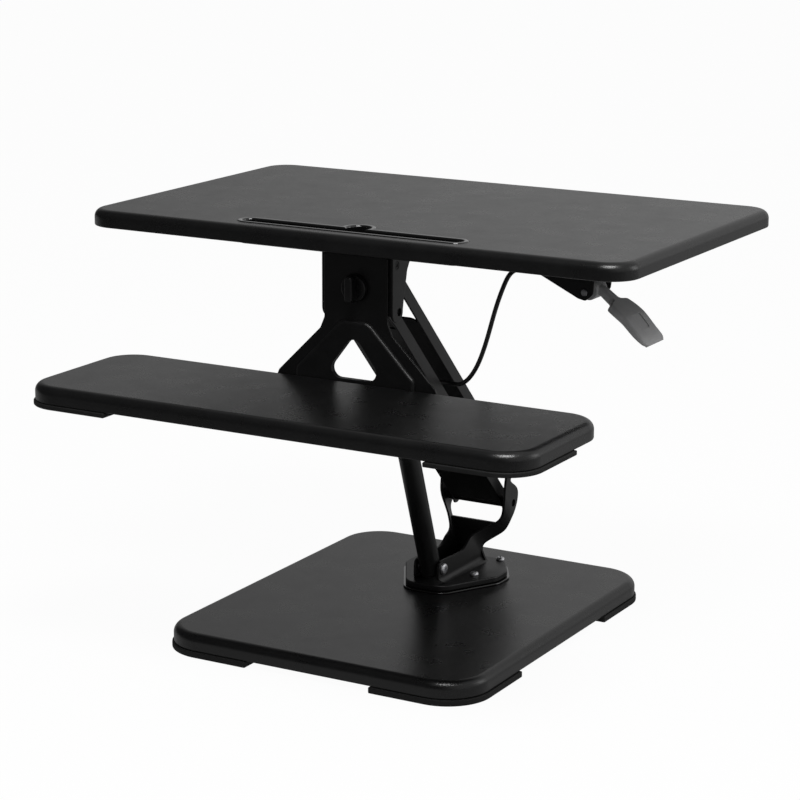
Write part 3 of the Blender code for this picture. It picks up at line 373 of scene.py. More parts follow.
def finishPiece(made, body, replaced=None, smooth=32):
    replaced = replaced or [nodeOf(made.name)]
    slotName = slotOf[replaced[0]]
    mesh = made.data
    mesh.materials.clear()
    mesh.materials.append(looks[slotName])
    mesh.polygons.foreach_set("material_index", [0] * len(mesh.polygons))
    mesh.shade_smooth()
    mesh.set_sharp_from_angle(angle=radians(smooth))
    weigh = made.modifiers.new("weigh", "WEIGHTED_NORMAL")
    weigh.keep_sharp = True
    settle(made)
    made.data.name = made.name
    if body:  # a piece that bends between two bodies rides on neither
        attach(made, body)
    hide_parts(*replaced)
    return made


# release cable: it leaves the lever's ferrule, drops to the arm and turns up to the adjuster
armWay = (pivot["desk_level"] - pivot["lift"]).normalized()
armLength = (pivot["desk_level"] - pivot["lift"]).length
armLean = atan2(-armWay.y, armWay.z)
armFrame = Matrix.Translation(pivot["lift"]) @ Matrix.Rotation(armLean, 4, "X")
rearFrame = Matrix.Translation(pivot["rear_arm_swing"]) @ Matrix.Rotation(armLean, 4, "X")
cable = {"radius": 0.0024, "length": 0.277, "perStretch": 6, "sides": 14, "lead": 0.010, "footLead": 0.0067,
         "exit": (0.1807, -0.00535, 0.420688), "turnRadius": 0.0189, "turnMiddle": (0.0399, 0.2419),
         "turn": (312, 180), "turnAcross": (0.0120, 0.0145, 0.0150, 0.0120, 0.0070, 0.0045),
         "foot": (0.021, 0.003, 0.2557), "heldPoints": 22}  # how many of the last points lie on the arm; nothing here moves them
cableDrop = [(0.1480, -0.00485, 0.4150), (0.1365, -0.00435, 0.4095), (0.1285, -0.00035, 0.3970),
             (0.1183, 0.00565, 0.3776), (0.1080, 0.01365, 0.3560), (0.0972, 0.02165, 0.3288),
             (0.0846, 0.02965, 0.3027), (0.0745, 0.03485, 0.2880), (0.0640, 0.04015, 0.2770)]


def cableLine():
    start = Vector(cable["exit"])
    line = [start - Vector((cable["lead"] * i, 0, 0)) for i in range(3)]
    line += [Vector(point) for point in cableDrop]
    bend = arc(cable["turnMiddle"], cable["turnRadius"], *cable["turn"], len(cable["turnAcross"]) - 1)
    line += [armFrame @ Vector((x, m, s)) for (x, s), m in zip(bend, cable["turnAcross"])]
    foot = Vector(cable["foot"])
    line += [armFrame @ (foot - Vector((0, 0, cable["footLead"]))), armFrame @ foot]
    return spline(line, cable["perStretch"], passBy)


def tube(path, radius, sides):
    side = Vector((0, 0, 1))
    rings = []
    for i, place in enumerate(path):
        ahead = (path[min(i + 1, len(path) - 1)] - path[max(i - 1, 0)]).normalized()
        side = (side - side.dot(ahead) * ahead).normalized()
        other = ahead.cross(side)
        rings.append([place + radius * (cos(t) * side + sin(t) * other)
                      for t in (2 * pi * k / sides for k in range(sides))])
    return loft(rings)


cablePath = cableLine()
releaseCable = asObject("releaseCable", tube(cablePath, cable["radius"], cable["sides"]))
finishPiece(releaseCable, None)
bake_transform(releaseCable)
print("cable laid:", round(sum((b - a).length for a, b in zip(cablePath, cablePath[1:])), 4), "m")

# boards: bull-nosed above, a small round below
boards = {"nose": 0.009, "under": 0.0012, "noseSteps": 12, "cornerSteps": 22,
          "corner": {"desk_board": 0.032, "tray_board": 0.038, "base_board": 0.048}}


def boardOutline(node, inset):
    low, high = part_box(node)
    corners = rectangle(low[0] + inset, high[0] - inset, low[1] + inset, high[1] - inset)
    return rounded(corners, boards["corner"][node] - inset, boards["cornerSteps"])


def boardShape(node):
    low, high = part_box(node)
    nose, under = boards["nose"], boards["under"]
    levels = [(under, low[2]), (under * 0.3, low[2] + under * 0.3), (0, low[2] + under)]
    levels += [(nose * (1 - cos(t)), high[2] - nose + nose * sin(t)) for t in quarter(boards["noseSteps"])]
    return loft([[(x, y, z) for x, y in boardOutline(node, inset)] for inset, z in levels])


for name, body in (("baseBoard", "base"), ("trayBoard", "desk")):
    finishPiece(asObject(name, boardShape(nodeOf(name))), body)

# device slot: a glossy trough with a proud rim, long with round ends and a round pocket behind
deskLow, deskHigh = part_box("desk_board")
slot = {"middle": (-0.005, deskLow[1] + 0.033), "half": 0.1345, "width": 0.028, "rim": 0.0055,
        "ledge": 0.002, "proud": 0.0009, "outerRound": 0.0016, "innerRound": 0.0022, "crown": (0.30, 0.60),
        "cup": 0.0185, "cupBack": 0.016, "floor": 0.002, "lean": 0.0006, "floorRound": (0.0020, 0.0015)}


def slotOutline(inset):
    x, y = slot["middle"]
    radius = slot["width"] / 2 - inset
    cup = slot["cup"] - inset
    half = slot["half"] - inset - radius
    meet = degrees(asin((radius - slot["cupBack"]) / cup))
    points = arc((x + half, y), radius, -90, 90, 24)
    points += arc((x, y + slot["cupBack"]), cup, meet, 180 - meet, 36)
    return points + arc((x - half, y), radius, 90, 270, 24)


deskBoard = asObject("deskBoard", boardShape("desk_board"))
ledge = deskHigh[2] - slot["ledge"]
cut(deskBoard, prism(slotOutline(slot["rim"] / 2 - gap), deskLow[2] - 0.02, ledge),
    prism(slotOutline(-gap), ledge - 2 * gap, deskHigh[2] + 0.02))
finishPiece(deskBoard, "desk")
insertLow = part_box("slot_insert")[0][2]
rim, rimTop, floorTop = slot["rim"], deskHigh[2] + slot["proud"], insertLow + slot["floor"]
outer, inner = slot["outerRound"], slot["innerRound"]
first, last = [rim * share for share in slot["crown"]]  # the rim's flat top
levels = [(rim / 2, insertLow), (rim / 2, ledge - gap), (0.0, ledge - gap), (0.0, rimTop - outer)]
levels += [(first * (1 - cos(t)), rimTop - outer + outer * sin(t)) for t in quarter(5, 1)]
levels += [(last + (rim - last) * sin(t), rimTop - inner * (1 - cos(t))) for t in quarter(6)]
levels += [(rim + slot["lean"], floorTop + slot["floorRound"][1]), (rim + slot["floorRound"][0], floorTop)]
slotRings = [[(x, y, z) for x, y in slotOutline(inset)] for inset, z in levels]
finishPiece(asObject("slotInsert", loft(slotRings)), "desk")
print("boards and slot made")

# rubber pads round the corners
pads = {"band": 0.022, "proud": 0.0018, "soft": 0.0012, "baseRun": (0.112, 0.120),
        "trayRun": (0.105, 0.112)}


def padOutline(node, run, side, facing):
    low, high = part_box(node)
    corner = boards["corner"][node]
    halfX, halfY = high[0], (high[1] - low[1]) / 2
    middle = (halfX - corner, corner - halfY)
    outer = [(halfX - run[0], -halfY - pads["proud"])] + arc(middle, corner + pads["proud"], -90, 0, 20)
    outer += [(halfX + pads["proud"], run[1] - halfY)]
    inner = [(halfX - pads["band"], run[1] - halfY)] + arc(middle, corner - pads["band"], 0, -90, 20)
    inner += [(halfX - run[0], pads["band"] - halfY)]
    return [(side * x, (low[1] + high[1]) / 2 - facing * y) for x, y in outer + inner]


def addPad(node, board, body, run, side, facing):
    low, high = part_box(node)
    words = node.split("_")
    name = words[0] + "Pad" + "".join(word.title() for word in words[2:])
    shape = prism(padOutline(board, run, side, facing), low[2], high[2], "Z", pads["soft"])
    finishPiece(asObject(name, shape), body, [node])


for side, hand in ((-1, "left"), (1, "right")):
    addPad("tray_foot_" + hand, "tray_board", "desk", pads["trayRun"], side, -1)
    for facing, row in ((-1, "front"), (1, "rear")):
        addPad("base_foot_" + row + "_" + hand, "base_board", "base", pads["baseRun"], side, facing)
print("pads made")

# base bracket: a rounded flange on a glossy trim plate, two bent cheeks and a web between them
springY, springZ = pivot["spring_tilt"].yz
lowY, lowZ = pivot["lift"].yz
backY, backZ = pivot["rear_arm_swing"].yz
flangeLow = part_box("base_bracket")[0][2]
bracket = {"flange": 0.0068, "flangeHalf": 0.0585, "noseHalf": 0.0225, "tailHalf": 0.036,
           "cornerRound": 0.022, "half": 0.042, "clevisHalf": 0.016, "sheet": 0.003, "flareRun": 0.076,
           "flareEnd": 0.008, "footFillet": 0.007, "flareSteps": 18, "filletSteps": 7, "sliver": 0.0008,
           "lobe": 0.010, "pinHole": 0.0043, "screwX": 0.033, "screwHole": 0.0027, "trimGrow": 0.0028}
flangeTop = flangeLow + bracket["flange"]
flareStart = lowY + lowZ - bracket["flareEnd"] - bracket["flareRun"]


def screwHoles(spots, low, high, past=0.01):
    return [prism(circle(spot, bracket["screwHole"], 24), low - past, high + past) for spot in spots]


def pinHole(spot, reach=0.1):
    return prism(circle(spot, bracket["pinHole"]), -reach, reach, "X")


def flangeOutline(grow):
    wide = bracket["flangeHalf"] + grow
    right = [(bracket["noseHalf"] + grow / 2, springY - 0.0155 - grow), (wide, springY + 0.049),
             (wide, lowY - 0.045), (bracket["tailHalf"] + grow / 2, lowY - 0.007 + grow)]
    return rounded(bothSides(right), bracket["cornerRound"], 12)


def cheekHalf(y, z):  # narrow beside the spring, spread to the arms, filleted at the foot
    share = min(max((y + z - flareStart) / bracket["flareRun"], 0), 1)
    fillet = bracket["footFillet"]
    short = fillet - min(max(z - flangeTop, 0), fillet)
    spread = (bracket["half"] - bracket["clevisHalf"]) * share ** 2 * (3 - 2 * share)
    return bracket["clevisHalf"] + spread + fillet - (fillet ** 2 - short ** 2) ** 0.5


def cheekOutline():
    foot = flangeLow + bracket["flange"] / 2
    sy, sz, ly, lz = springY, springZ, lowY, lowZ
    front = [(sy - 0.0095, foot), (sy - 0.0095, sz + 0.004), (sy - 0.006, sz + 0.0085),
             (sy + 0.002, sz + 0.010), (sy + 0.045, sz + 0.008), (sy + 0.055, sz + 0.0115),
             (ly - 0.056, lz - 0.032), (ly - 0.046, lz - 0.029), (ly - 0.029, lz - 0.023),
             (ly - 0.020, lz - 0.0195), (ly - 0.0165, lz - 0.016), (ly - 0.0165, lz - 0.009),
             (ly - 0.0195, lz), (ly - 0.0205, lz + 0.011), (ly - 0.0195, lz + 0.023)]
    back = [(backY - 0.0035, backZ - 0.020), (ly - 0.0045, lz + 0.025), (ly + 0.005, lz + 0.0195),
            (ly + 0.010, lz + 0.015), (ly + 0.0123, lz + 0.009), (ly + 0.0105, lz), (ly + 0.006, lz - 0.008),
            (ly - 0.0005, lz - 0.016), (ly - 0.002, lz - 0.027), (ly - 0.0035, lz - 0.034),
            (ly - 0.013, lz - 0.040), (ly - 0.024, sz + 0.005), (ly - 0.0255, sz + 0.001),
            (ly - 0.023, sz - 0.009), (ly - 0.020, foot)]
    return eased(front + arc((backY, backZ), bracket["lobe"], 205, -30, 10) + back)


def bentCheek(side):
    shape = bmesh.new()
    shape.faces.new([shape.verts.new((0, y, z)) for y, z in cheekOutline()])
    folds = [(flareStart + bracket["flareRun"] * i / bracket["flareSteps"], (0, 1, 1))
             for i in range(bracket["flareSteps"] + 1)]
    folds += [(flangeTop + bracket["footFillet"] * (1 - cos(t)), (0, 0, 1))
              for t in quarter(bracket["filletSteps"])]
    for height, way in folds:
        everything = shape.verts[:] + shape.edges[:] + shape.faces[:]
        bmesh.ops.bisect_plane(shape, geom=everything, plane_co=(0, 0, height), plane_no=way)
    bmesh.ops.remove_doubles(shape, verts=shape.verts[:], dist=bracket["sliver"])
    for vert in shape.verts:
        vert.co.x = side * cheekHalf(vert.co.y, vert.co.z)
    grown = bmesh.ops.extrude_face_region(shape, geom=shape.faces[:], use_keep_orig=True)
    inner = [item for item in grown["geom"] if isinstance(item, bmesh.types.BMVert)]
    bmesh.ops.translate(shape, vec=(-side * bracket["sheet"], 0, 0), verts=inner)
    bmesh.ops.recalc_face_normals(shape, faces=shape.faces)
    return softened(shape, 0.0005, 2, 45)


screwSpots = [(x, y) for x in (-bracket["screwX"], bracket["screwX"])
              for y in (springY + 0.042, lowY - 0.013)]
trimLow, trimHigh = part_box("trim_plate")
trimLine = flangeOutline(bracket["trimGrow"])
trimPlate = asObject("trimPlate", prism(trimLine, trimLow[2], trimHigh[2], "Z", 0.0007))
cut(trimPlate, *screwHoles(screwSpots, trimLow[2], trimHigh[2]))
finishPiece(trimPlate, "base")
baseBracket = asObject("baseBracket", prism(flangeOutline(0), flangeLow, flangeTop, "Z", 0.0016, 4))
webRows = [(lowY - 0.0237, flangeLow + bracket["flange"] / 2), (lowY - 0.0288, springZ + 0.001),
           (lowY - 0.0233, springZ + 0.007), (lowY - 0.0148, lowZ - 0.035), (lowY - 0.0132, lowZ - 0.0225)]
webRings = []
for front, z in webRows:
    reach = cheekHalf(front + bracket["sheet"] / 2, z) - bracket["sheet"] / 2
    webRings.append([(x, y, z) for x, y in rectangle(-reach, reach, front, front + bracket["sheet"])])
fuse(baseBracket, loft(webRings), bentCheek(-1), bentCheek(1))
cut(baseBracket, *[pinHole(pivot[joint].yz) for joint in ("spring_tilt", "lift", "rear_arm_swing")],
    *screwHoles(screwSpots, flangeLow, flangeTop))
finishPiece(baseBracket, "base")
print("base bracket made")

# pins, bushes and the spring's bolt, all turned
pins = {"radius": 0.004, "half": 0.040, "flushHalf": 0.0418, "chamfer": 0.0006, "dimple": 0.0008,
        "dimpleWide": (0.45, 0.55), "bushHalf": 0.0387, "bushOuter": 0.0061, "bushChamfer": 0.0005}
topRear = pivot["desk_level"] + pivot["rear_arm_swing"] - pivot["lift"]
places = {"low": {"front": pivot["lift"], "rear": pivot["rear_arm_swing"]},
          "top": {"front": pivot["desk_level"], "rear": topRear}}
for level, body in (("low", "base"), ("top", "desk")):
    for row, place in places[level].items():
        name, turned = row + level.title(), Matrix.Translation(place) @ alongX
        r, chamfer, dimple = pins["radius"], pins["chamfer"], pins["dimple"]
        bottom, mouth = [r * share for share in pins["dimpleWide"]]
        half = pins["flushHalf"] if name == "rearTop" else pins["half"]
        profile = spindle(half, (0, dimple), (bottom, dimple), (mouth, 0), (r - chamfer, 0), (r, chamfer))
        finishPiece(asObject(name + "Pin", moved(lathe(profile), turned)), body)
        outer, chamfer = pins["bushOuter"], pins["bushChamfer"]
        profile = spindle(pins["bushHalf"], (bracket["pinHole"], 0), (outer - chamfer, 0), (outer, chamfer))
        bush = asObject(name + "Bush", moved(lathe(profile), turned))
        finishPiece(bush, row + "_arm", [row + "_arm_" + level + "_bush"])
bolt = {"radius": 0.004, "tip": 0.003, "chamfer": 0.0006, "hex": 0.0023, "hexFrom": 0.0018, "hexTo": 0.006,
        "head": ((0.0065, gap), (0.0065, 0.0012), (0.0062, 0.0021), (0.0054, 0.0029), (0.0042, 0.0034),
                 (0, 0.0036))}
clevis, r, chamfer = bracket["clevisHalf"], bolt["radius"], bolt["chamfer"]
tip = -clevis - bolt["tip"]
boltProfile = [(0, tip), (r - chamfer, tip), (r, tip + chamfer), (r, clevis + gap)]
boltProfile += [(radius, clevis + height) for radius, height in bolt["head"]]
boltPlace = Matrix.Translation(pivot["spring_tilt"]) @ alongX
springBolt = asObject("springBolt", moved(lathe(boltProfile), boltPlace))
hexLine = circle((0, 0), bolt["hex"], 6)
cut(springBolt, moved(prism(hexLine, clevis + bolt["hexFrom"], clevis + bolt["hexTo"]), boltPlace))
finishPiece(springBolt, "base")
print("pins and bushes turned")

# arms: channels drawn along local Z from the lower pivot, local Y pointing up and back
arms = {"half": 0.033, "sheet": 0.0025, "eye": 0.0064, "taper": 0.016,
        "front": {"frontEdge": 0.0064, "backEdge": 0.0081, "lobe": 0.010,
                  "webLow": 0.0067, "webHigh": 0.024, "shoulder": 0.0025},
        "rear": {"frontEdge": 0.0055, "backEdge": 0.0085, "lobe": 0.0082,
                 "webLow": 0.045, "webHigh": 0.091, "shoulder": 0.010}}
springOnArm = 0.307  # from the lower pivot to the spring's head
lugs = {"half": 0.013, "sheet": 0.003, "reach": 0.014, "back": 0.008, "round": 0.007, "crease": 0.0005,
        "tab": 0.268, "tabEdge": 0.006, "tabRound": 0.004, "tabHole": 0.0034, "slotRun": (0.100, 0.015),
        "slotRound": 0.008, "slack": 0.0004}


def armShape(row):
    size = arms[row]
    front, back, taper = size["frontEdge"], size["backEdge"], arms["taper"]
    outline = [(-front, taper), (-front, armLength - taper)] + arc((0, armLength), size["lobe"], 160, 20, 22)
    outline += [(back, armLength - taper), (back, taper)] + arc((0, 0), size["lobe"], -20, -160, 22)
    flanges = plates(outline, arms["half"] - arms["sheet"], arms["half"], 0.0009)
    reach = arms["half"] - arms["sheet"] * 0.45
    web = rounded(rectangle(-reach, reach, size["webLow"], armLength - size["webHigh"]), size["shoulder"])
    made = asObject(row + "Arm", flanges[0])
    fuse(made, flanges[1], prism(web, -front + 0.00008, -front + arms["sheet"], "Y", 0.0005, 2))
    return made


frontArm = armShape("front")
lugFront = -arms["front"]["frontEdge"] + arms["sheet"] / 2
crease, lugOuter, tabLow = lugs["crease"], lugs["half"] + lugs["sheet"], lugs["tab"]
lugLine = rectangle(lugFront, lugs["back"], springOnArm - lugs["reach"], springOnArm + lugs["reach"])
lugLine = rounded(lugLine, (crease, lugs["round"], lugs["round"], crease))
footX, footY = cable["foot"][:2]
tabLine = rectangle(lugOuter - crease, footX + lugs["tabEdge"], lugFront, footY + lugs["tabEdge"])
tabLine = rounded(tabLine, (crease, crease, lugs["tabRound"], lugs["tabRound"]))
fuse(frontArm, *plates(lugLine, lugs["half"], lugOuter, crease, 2),
     prism(tabLine, tabLow, tabLow + lugs["sheet"]))
slotHalf, slotRun = lugs["half"] + lugs["slack"], lugs["slotRun"]
springSlot = rectangle(-slotHalf, slotHalf, springOnArm - slotRun[0], springOnArm + slotRun[1])
cut(frontArm, prism(rounded(springSlot, lugs["slotRound"]), -0.02, lugFront + arms["sheet"], "Y"),
    prism(circle((footX, footY), lugs["tabHole"], 24), tabLow - 0.003, tabLow + 0.006))
rearArm = armShape("rear")
for row, made, place in (("front", frontArm, armFrame), ("rear", rearArm, rearFrame)):
    cut(made, *[prism(circle((0, height), arms["eye"]), -0.1, 0.1, "X") for height in (0, armLength)])
    made.data.transform(place)
    finishPiece(made, row + "_arm")
adjuster = {"low": 0.256, "high": 0.284, "radius": 0.0031, "nut": 0.005, "nutHigh": 0.006, "wire": 0.0012,
            "crests": 7, "pitch": 0.0014, "threadUp": 0.0045, "threadDeep": 0.0004, "chamfer": 0.0006,
            "taper": 0.002}
r, nut, wire, chamfer = [adjuster[key] for key in ("radius", "nut", "wire", "chamfer")]
low, high, nutLow = adjuster["low"], adjuster["high"], tabLow - adjuster["nutHigh"]
adjusterProfile = [(0, low), (r - chamfer, low), (r, low + chamfer), (r, nutLow), (nut, nutLow),
                   (nut, tabLow - gap), (r, tabLow - gap)]
for i in range(adjuster["crests"]):  # the thread above the tab
    z = tabLow + adjuster["threadUp"] + adjuster["pitch"] * i
    adjusterProfile += [(r - adjuster["threadDeep"], z), (r, z + adjuster["pitch"] / 2)]
adjusterProfile += [(r, high), (wire, high + adjuster["taper"]), (wire, springOnArm), (0, springOnArm)]
shape = moved(lathe(adjusterProfile, 32), armFrame @ Matrix.Translation((footX, footY, 0)))
finishPiece(asObject("cableAdjuster", shape), "front_arm")
print("arms made")

# gas spring: satin tube with a rolled shoulder, chromed rod with an eye
spring = {"radius": 0.0116, "length": 0.160, "tail": 0.0078, "tailRound": 0.003, "topRound": 0.002,
          "wall": 0.0015, "floor": 0.012, "guide": 0.006, "rod": 0.005, "rodLength": 0.172, "piston": 0.008,
          "eye": 0.008, "eyeHalf": 0.008, "headPin": 0.004, "chamfer": 0.0005,
          "groove": (0.0115, 0.0110, 0.0095, 0.0090), "grooveDeep": 0.0004}
springHead = pivot["lift"] + springOnArm * armWay
springWay = (springHead - pivot["spring_tilt"]).normalized()
springLength = (springHead - pivot["spring_tilt"]).length
springLean = atan2(-springWay.y, springWay.z)
springFrame = Matrix.Translation(pivot["spring_tilt"]) @ Matrix.Rotation(springLean, 4, "X")
r, top, tail = spring["radius"], spring["length"], -spring["tail"]
bore = r - spring["wall"]
guideBore = spring["rod"] + gap
tailRound, topRound = spring["tailRound"], spring["topRound"]
tubeProfile = [(0, tail), (r - tailRound, tail)]
tubeProfile += [(r - tailRound + tailRound * sin(t), tail + tailRound * (1 - cos(t))) for t in quarter(6, 1)]
grooved = r - spring["grooveDeep"]
tubeProfile += [(radius, top - down) for radius, down in zip((r, grooved, grooved, r), spring["groove"])]
tubeProfile += [(r - topRound * (1 - cos(t)), top - topRound + topRound * sin(t)) for t in quarter(5)]
chamfer = spring["chamfer"]
tubeProfile += [(guideBore + chamfer, top), (guideBore, top - chamfer), (guideBore, top - spring["guide"]),
                (bore, top - spring["guide"]), (bore, spring["floor"]), (0, spring["floor"])]
springTube = asObject("springTube", lathe(tubeProfile, 64))
cut(springTube, pinHole((0, 0), 0.05))
springTube.data.transform(springFrame)
finishPiece(springTube, "spring_cylinder", ["spring_cylinder"])
rodLow = springLength - spring["rodLength"]
piston = bore - gap
pistonTop, rodTop = rodLow + spring["piston"], springLength - spring["eye"] / 2
rodProfile = [(0, rodLow), (piston - chamfer, rodLow), (piston, rodLow + chamfer), (piston, pistonTop),
              (spring["rod"], pistonTop), (spring["rod"], rodTop), (0, rodTop)]
springRod = asObject("springRod", lathe(rodProfile))
eyeLine = circle((0, springLength), spring["eye"], 48)
fuse(springRod, prism(eyeLine, -spring["eyeHalf"], spring["eyeHalf"], "X", 0.0006))
cut(springRod, pinHole((0, springLength), 0.05))
springRod.data.transform(springFrame)
finishPiece(springRod, "spring_rod")
r = spring["headPin"]
headPin = lathe(spindle(lugs["half"] - gap, (0, 0), (r - chamfer, 0), (r, chamfer)))
headPin.transform(springFrame @ Matrix.Translation((0, 0, springLength)) @ alongX)
finishPiece(asObject("springHeadPin", headPin), "spring_rod")
print("gas spring made")

# upper bracket: cheeks beside the arms, a front plate, rails and a plate under the desktop
topY, topZ = pivot["desk_level"].yz
under = deskLow[2]
upper = {"front": 0.014, "round": 0.011, "plateHalf": 0.075, "plateBack": 0.163, "rail": 0.0145,
         "plate": 0.0025, "belowSlot": 0.0064, "foldTo": 0.0350, "screwIn": (0.014, 0.015)}
face = topY - upper["front"]
plateTop = under - gap
plateLow = plateTop - upper["plate"]
channelTop = under - upper["belowSlot"]
railFront = slot["middle"][1] + slot["cupBack"] + slot["cup"] + 0.006
railBack = topY + upper["plateBack"]
railLow = plateTop - upper["rail"]
cheekLine = [(face, channelTop), (railFront, channelTop), (railFront, plateLow + 0.00125),
             (railBack, plateLow + 0.00125), (railBack, railLow + 0.006), (railBack - 0.012, railLow),
             (topY + 0.023, railLow), (topY + 0.0206, under - 0.0174), (topY + 0.0167, under - 0.024),
             (topY + 0.0149, under - 0.032), (topY + 0.0097, under - 0.054)]
cheekLine += arc((face + upper["round"], topZ), upper["round"], 5, -180, 22)
cheeks = plates(cheekLine, bracket["half"] - bracket["sheet"], bracket["half"], 0.0008)
topBracket = asObject("topBracket", cheeks[0])
reach = bracket["half"] - bracket["sheet"] / 2
frontPlate = rectangle(face + nudge, face + 0.0033, topZ + 0.006, topRear.z - arms["rear"]["lobe"] - 0.003)
foldLine = rectangle(face + 0.0004, face + 0.0034, topZ - 0.003, channelTop - 0.0005)  # front edges folded in
plateHalf = upper["plateHalf"]
mountPlate = rounded(rectangle(-plateHalf, plateHalf, railFront + nudge, railBack - nudge), 0.010)
fuse(topBracket, cheeks[1], *plates(foldLine, upper["foldTo"], reach), prism(frontPlate, -reach, reach, "X"),
     prism(mountPlate, plateLow, plateTop, "Z", 0.0005, 2))
knobPlace = pivot["knob_turn"]
studHole = 0.0033
mountX, mountY = plateHalf - upper["screwIn"][0], upper["screwIn"][1]
mountSpots = [(x, y) for x in (-mountX, mountX) for y in (railFront + mountY, railBack - mountY)]


def studBore(low, high):
    return prism(circle((0, knobPlace.z), studHole), low, high, "Y")


cut(topBracket, *[pinHole(place.yz) for place in places["top"].values()],
    studBore(face - 0.003, face + 0.009), *screwHoles(mountSpots, plateLow, plateTop))
finishPiece(topBracket, "desk")
print("upper bracket made")

# tray hanger: sheet, stamped arch, window and a shelf under the tray
trayLow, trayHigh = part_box("tray_board")
hanger = {"sheet": 0.0025, "neckHalf": 0.0375, "footHalf": 0.096, "arch": 0.004, "archSoft": 0.0036,
          "crownHalf": 0.013, "archFoot": 0.0705, "shelf": 0.055, "windowHalf": 0.037,
          "windowHeight": 0.0485, "windowRound": 0.010,
          "sheetRounds": (0.002, 0.003, 0.003, 0.008, 0.006, 0.002),
          "archRounds": (0.005, 0.006, 0.006, 0.010, 0.010)}
hangerBack = face - gap
hangerFace = hangerBack - hanger["sheet"]
shelfTop = trayLow[2] - gap
shelfLow = shelfTop - hanger["sheet"]
trayTop = trayHigh[2]
neck, foot = hanger["neckHalf"], hanger["footHalf"]
sheetCorners = bothSides([(foot, shelfLow), (foot, trayTop - 0.006), (foot - 0.003, trayTop + 0.001),
                          (neck + 0.005, topZ - 0.022), (neck, topZ - 0.010), (neck, channelTop - 0.001)])
sheetLine = rounded(sheetCorners, hanger["sheetRounds"] + hanger["sheetRounds"][::-1], 6)
trayHanger = asObject("trayHanger", prism(sheetLine, hangerFace, hangerBack, "Y", 0.0007))
crownHalf, archFoot = hanger["crownHalf"], hanger["archFoot"]
archCorners = bothSides([(archFoot, shelfLow + 0.00125), (archFoot, trayTop + 0.0075),
                         (archFoot - 0.007, trayTop + 0.014), (crownHalf + 0.007, topZ - 0.014),
                         (crownHalf, topZ - 0.0105)])
archLine = rounded(archCorners, hanger["archRounds"] + hanger["archRounds"][::-1], 6)
archFace = hangerFace - hanger["arch"]
arch = prism(archLine, archFace, hangerFace + hanger["sheet"] / 2, "Y")
archRim = [edge for edge in arch.edges if all(abs(vert.co.y - archFace) < 1e-6 for vert in edge.verts)]
shelfLine = rectangle(-foot + nudge, foot - nudge, hangerFace - hanger["shelf"], hangerBack - nudge)
shelfLine = rounded(shelfLine, (0.010, 0.010, 0.0005, 0.0005))
fuse(trayHanger, bevelled(arch, archRim, hanger["archSoft"], 6),
     prism(shelfLine, shelfLow + nudge, shelfTop, "Z", 0.0004, 2))
windowHalf, windowLow = hanger["windowHalf"], trayTop + 0.001
window = [(-windowHalf, windowLow), (windowHalf, windowLow), (0, windowLow + hanger["windowHeight"])]
traySpots = [(x, hangerFace - y) for x in (-foot + 0.016, foot - 0.016)
             for y in (0.018, hanger["shelf"] - 0.012)]
cut(trayHanger, prism(rounded(window, hanger["windowRound"], 12), hangerFace - 0.02, hangerBack + 0.003, "Y"),
    studBore(hangerFace - 0.003, hangerBack + 0.003), *screwHoles(traySpots, shelfLow, shelfTop, 0.005))
finishPiece(trayHanger, "desk", ["tray_bracket"])
print("tray hanger made")

# clamp knob: a round skirt with a grip bar across it, on a stud with a nut behind
knob = {"radius": 0.0145, "skirt": 0.006, "edge": 0.0022, "dish": 0.0008, "grip": 0.010, "gripHalf": 0.0042,
        "chamfer": 0.0006, "dishIn": (0.0045, 0.0055), "gripReach": 0.94, "gripRound": 0.0035, "stud": 0.003,
        "studOut": 0.013, "crests": 10, "pitch": 0.0008, "threadRun": 0.0085, "threadDeep": 0.0003,
        "nut": 0.0058, "nutThick": 0.005}
seat = hangerFace - gap
r, deep, edge, dish, chamfer = [knob[key] for key in ("radius", "skirt", "edge", "dish", "chamfer")]
skirtProfile = [(0, 0), (r - chamfer, 0), (r, chamfer)]
skirtProfile += [(r - edge * (1 - cos(t)), deep - edge + edge * sin(t)) for t in quarter(6)]
skirtProfile += [(r - knob["dishIn"][0], deep), (r - knob["dishIn"][1], deep - dish), (0, deep - dish)]
faceOn = Matrix.Translation((0, seat, knobPlace.z)) @ Matrix.Rotation(pi / 2, 4, "X")
trayKnob = asObject("trayKnob", moved(lathe(skirtProfile, 64), faceOn))
reach = knob["gripReach"] * r
bar = rectangle(-knob["gripHalf"], knob["gripHalf"], knobPlace.z - reach, knobPlace.z + reach)
bar = rounded(bar, knob["gripRound"])
fuse(trayKnob, prism(bar, seat - deep - knob["grip"], seat - deep / 2, "Y", 0.0014, 4))
cut(trayKnob, studBore(seat - deep + dish, seat + 0.003))
finishPiece(trayKnob, "knob")
studLow = seat - deep + gap + dish
stud, thread, studRun = knob["stud"], knob["threadDeep"], face + knob["studOut"] - studLow
studProfile = [(0, 0), (stud, 0)]
for i in range(knob["crests"]):  # the thread
    z = studRun - knob["threadRun"] + knob["pitch"] * i
    studProfile += [(stud, z), (stud - thread, z + knob["pitch"] / 2)]
studProfile += [(stud - 2 * thread, studRun), (0, studRun)]
knobStud = moved(lathe(studProfile, 32), Matrix.Translation((0, studLow, knobPlace.z)) @ alongY)
finishPiece(asObject("knobStud", knobStud), "knob")
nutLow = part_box("knob_nut")[0][1]
nutLine = circle((0, knobPlace.z), knob["nut"], 6)
knobNut = asObject("knobNut", prism(nutLine, nutLow, nutLow + knob["nutThick"], "Y", 0.0004, 2))
cut(knobNut, studBore(nutLow - 0.003, nutLow + knob["nutThick"] + 0.003))
finishPiece(knobNut, "desk")
print("knob made")

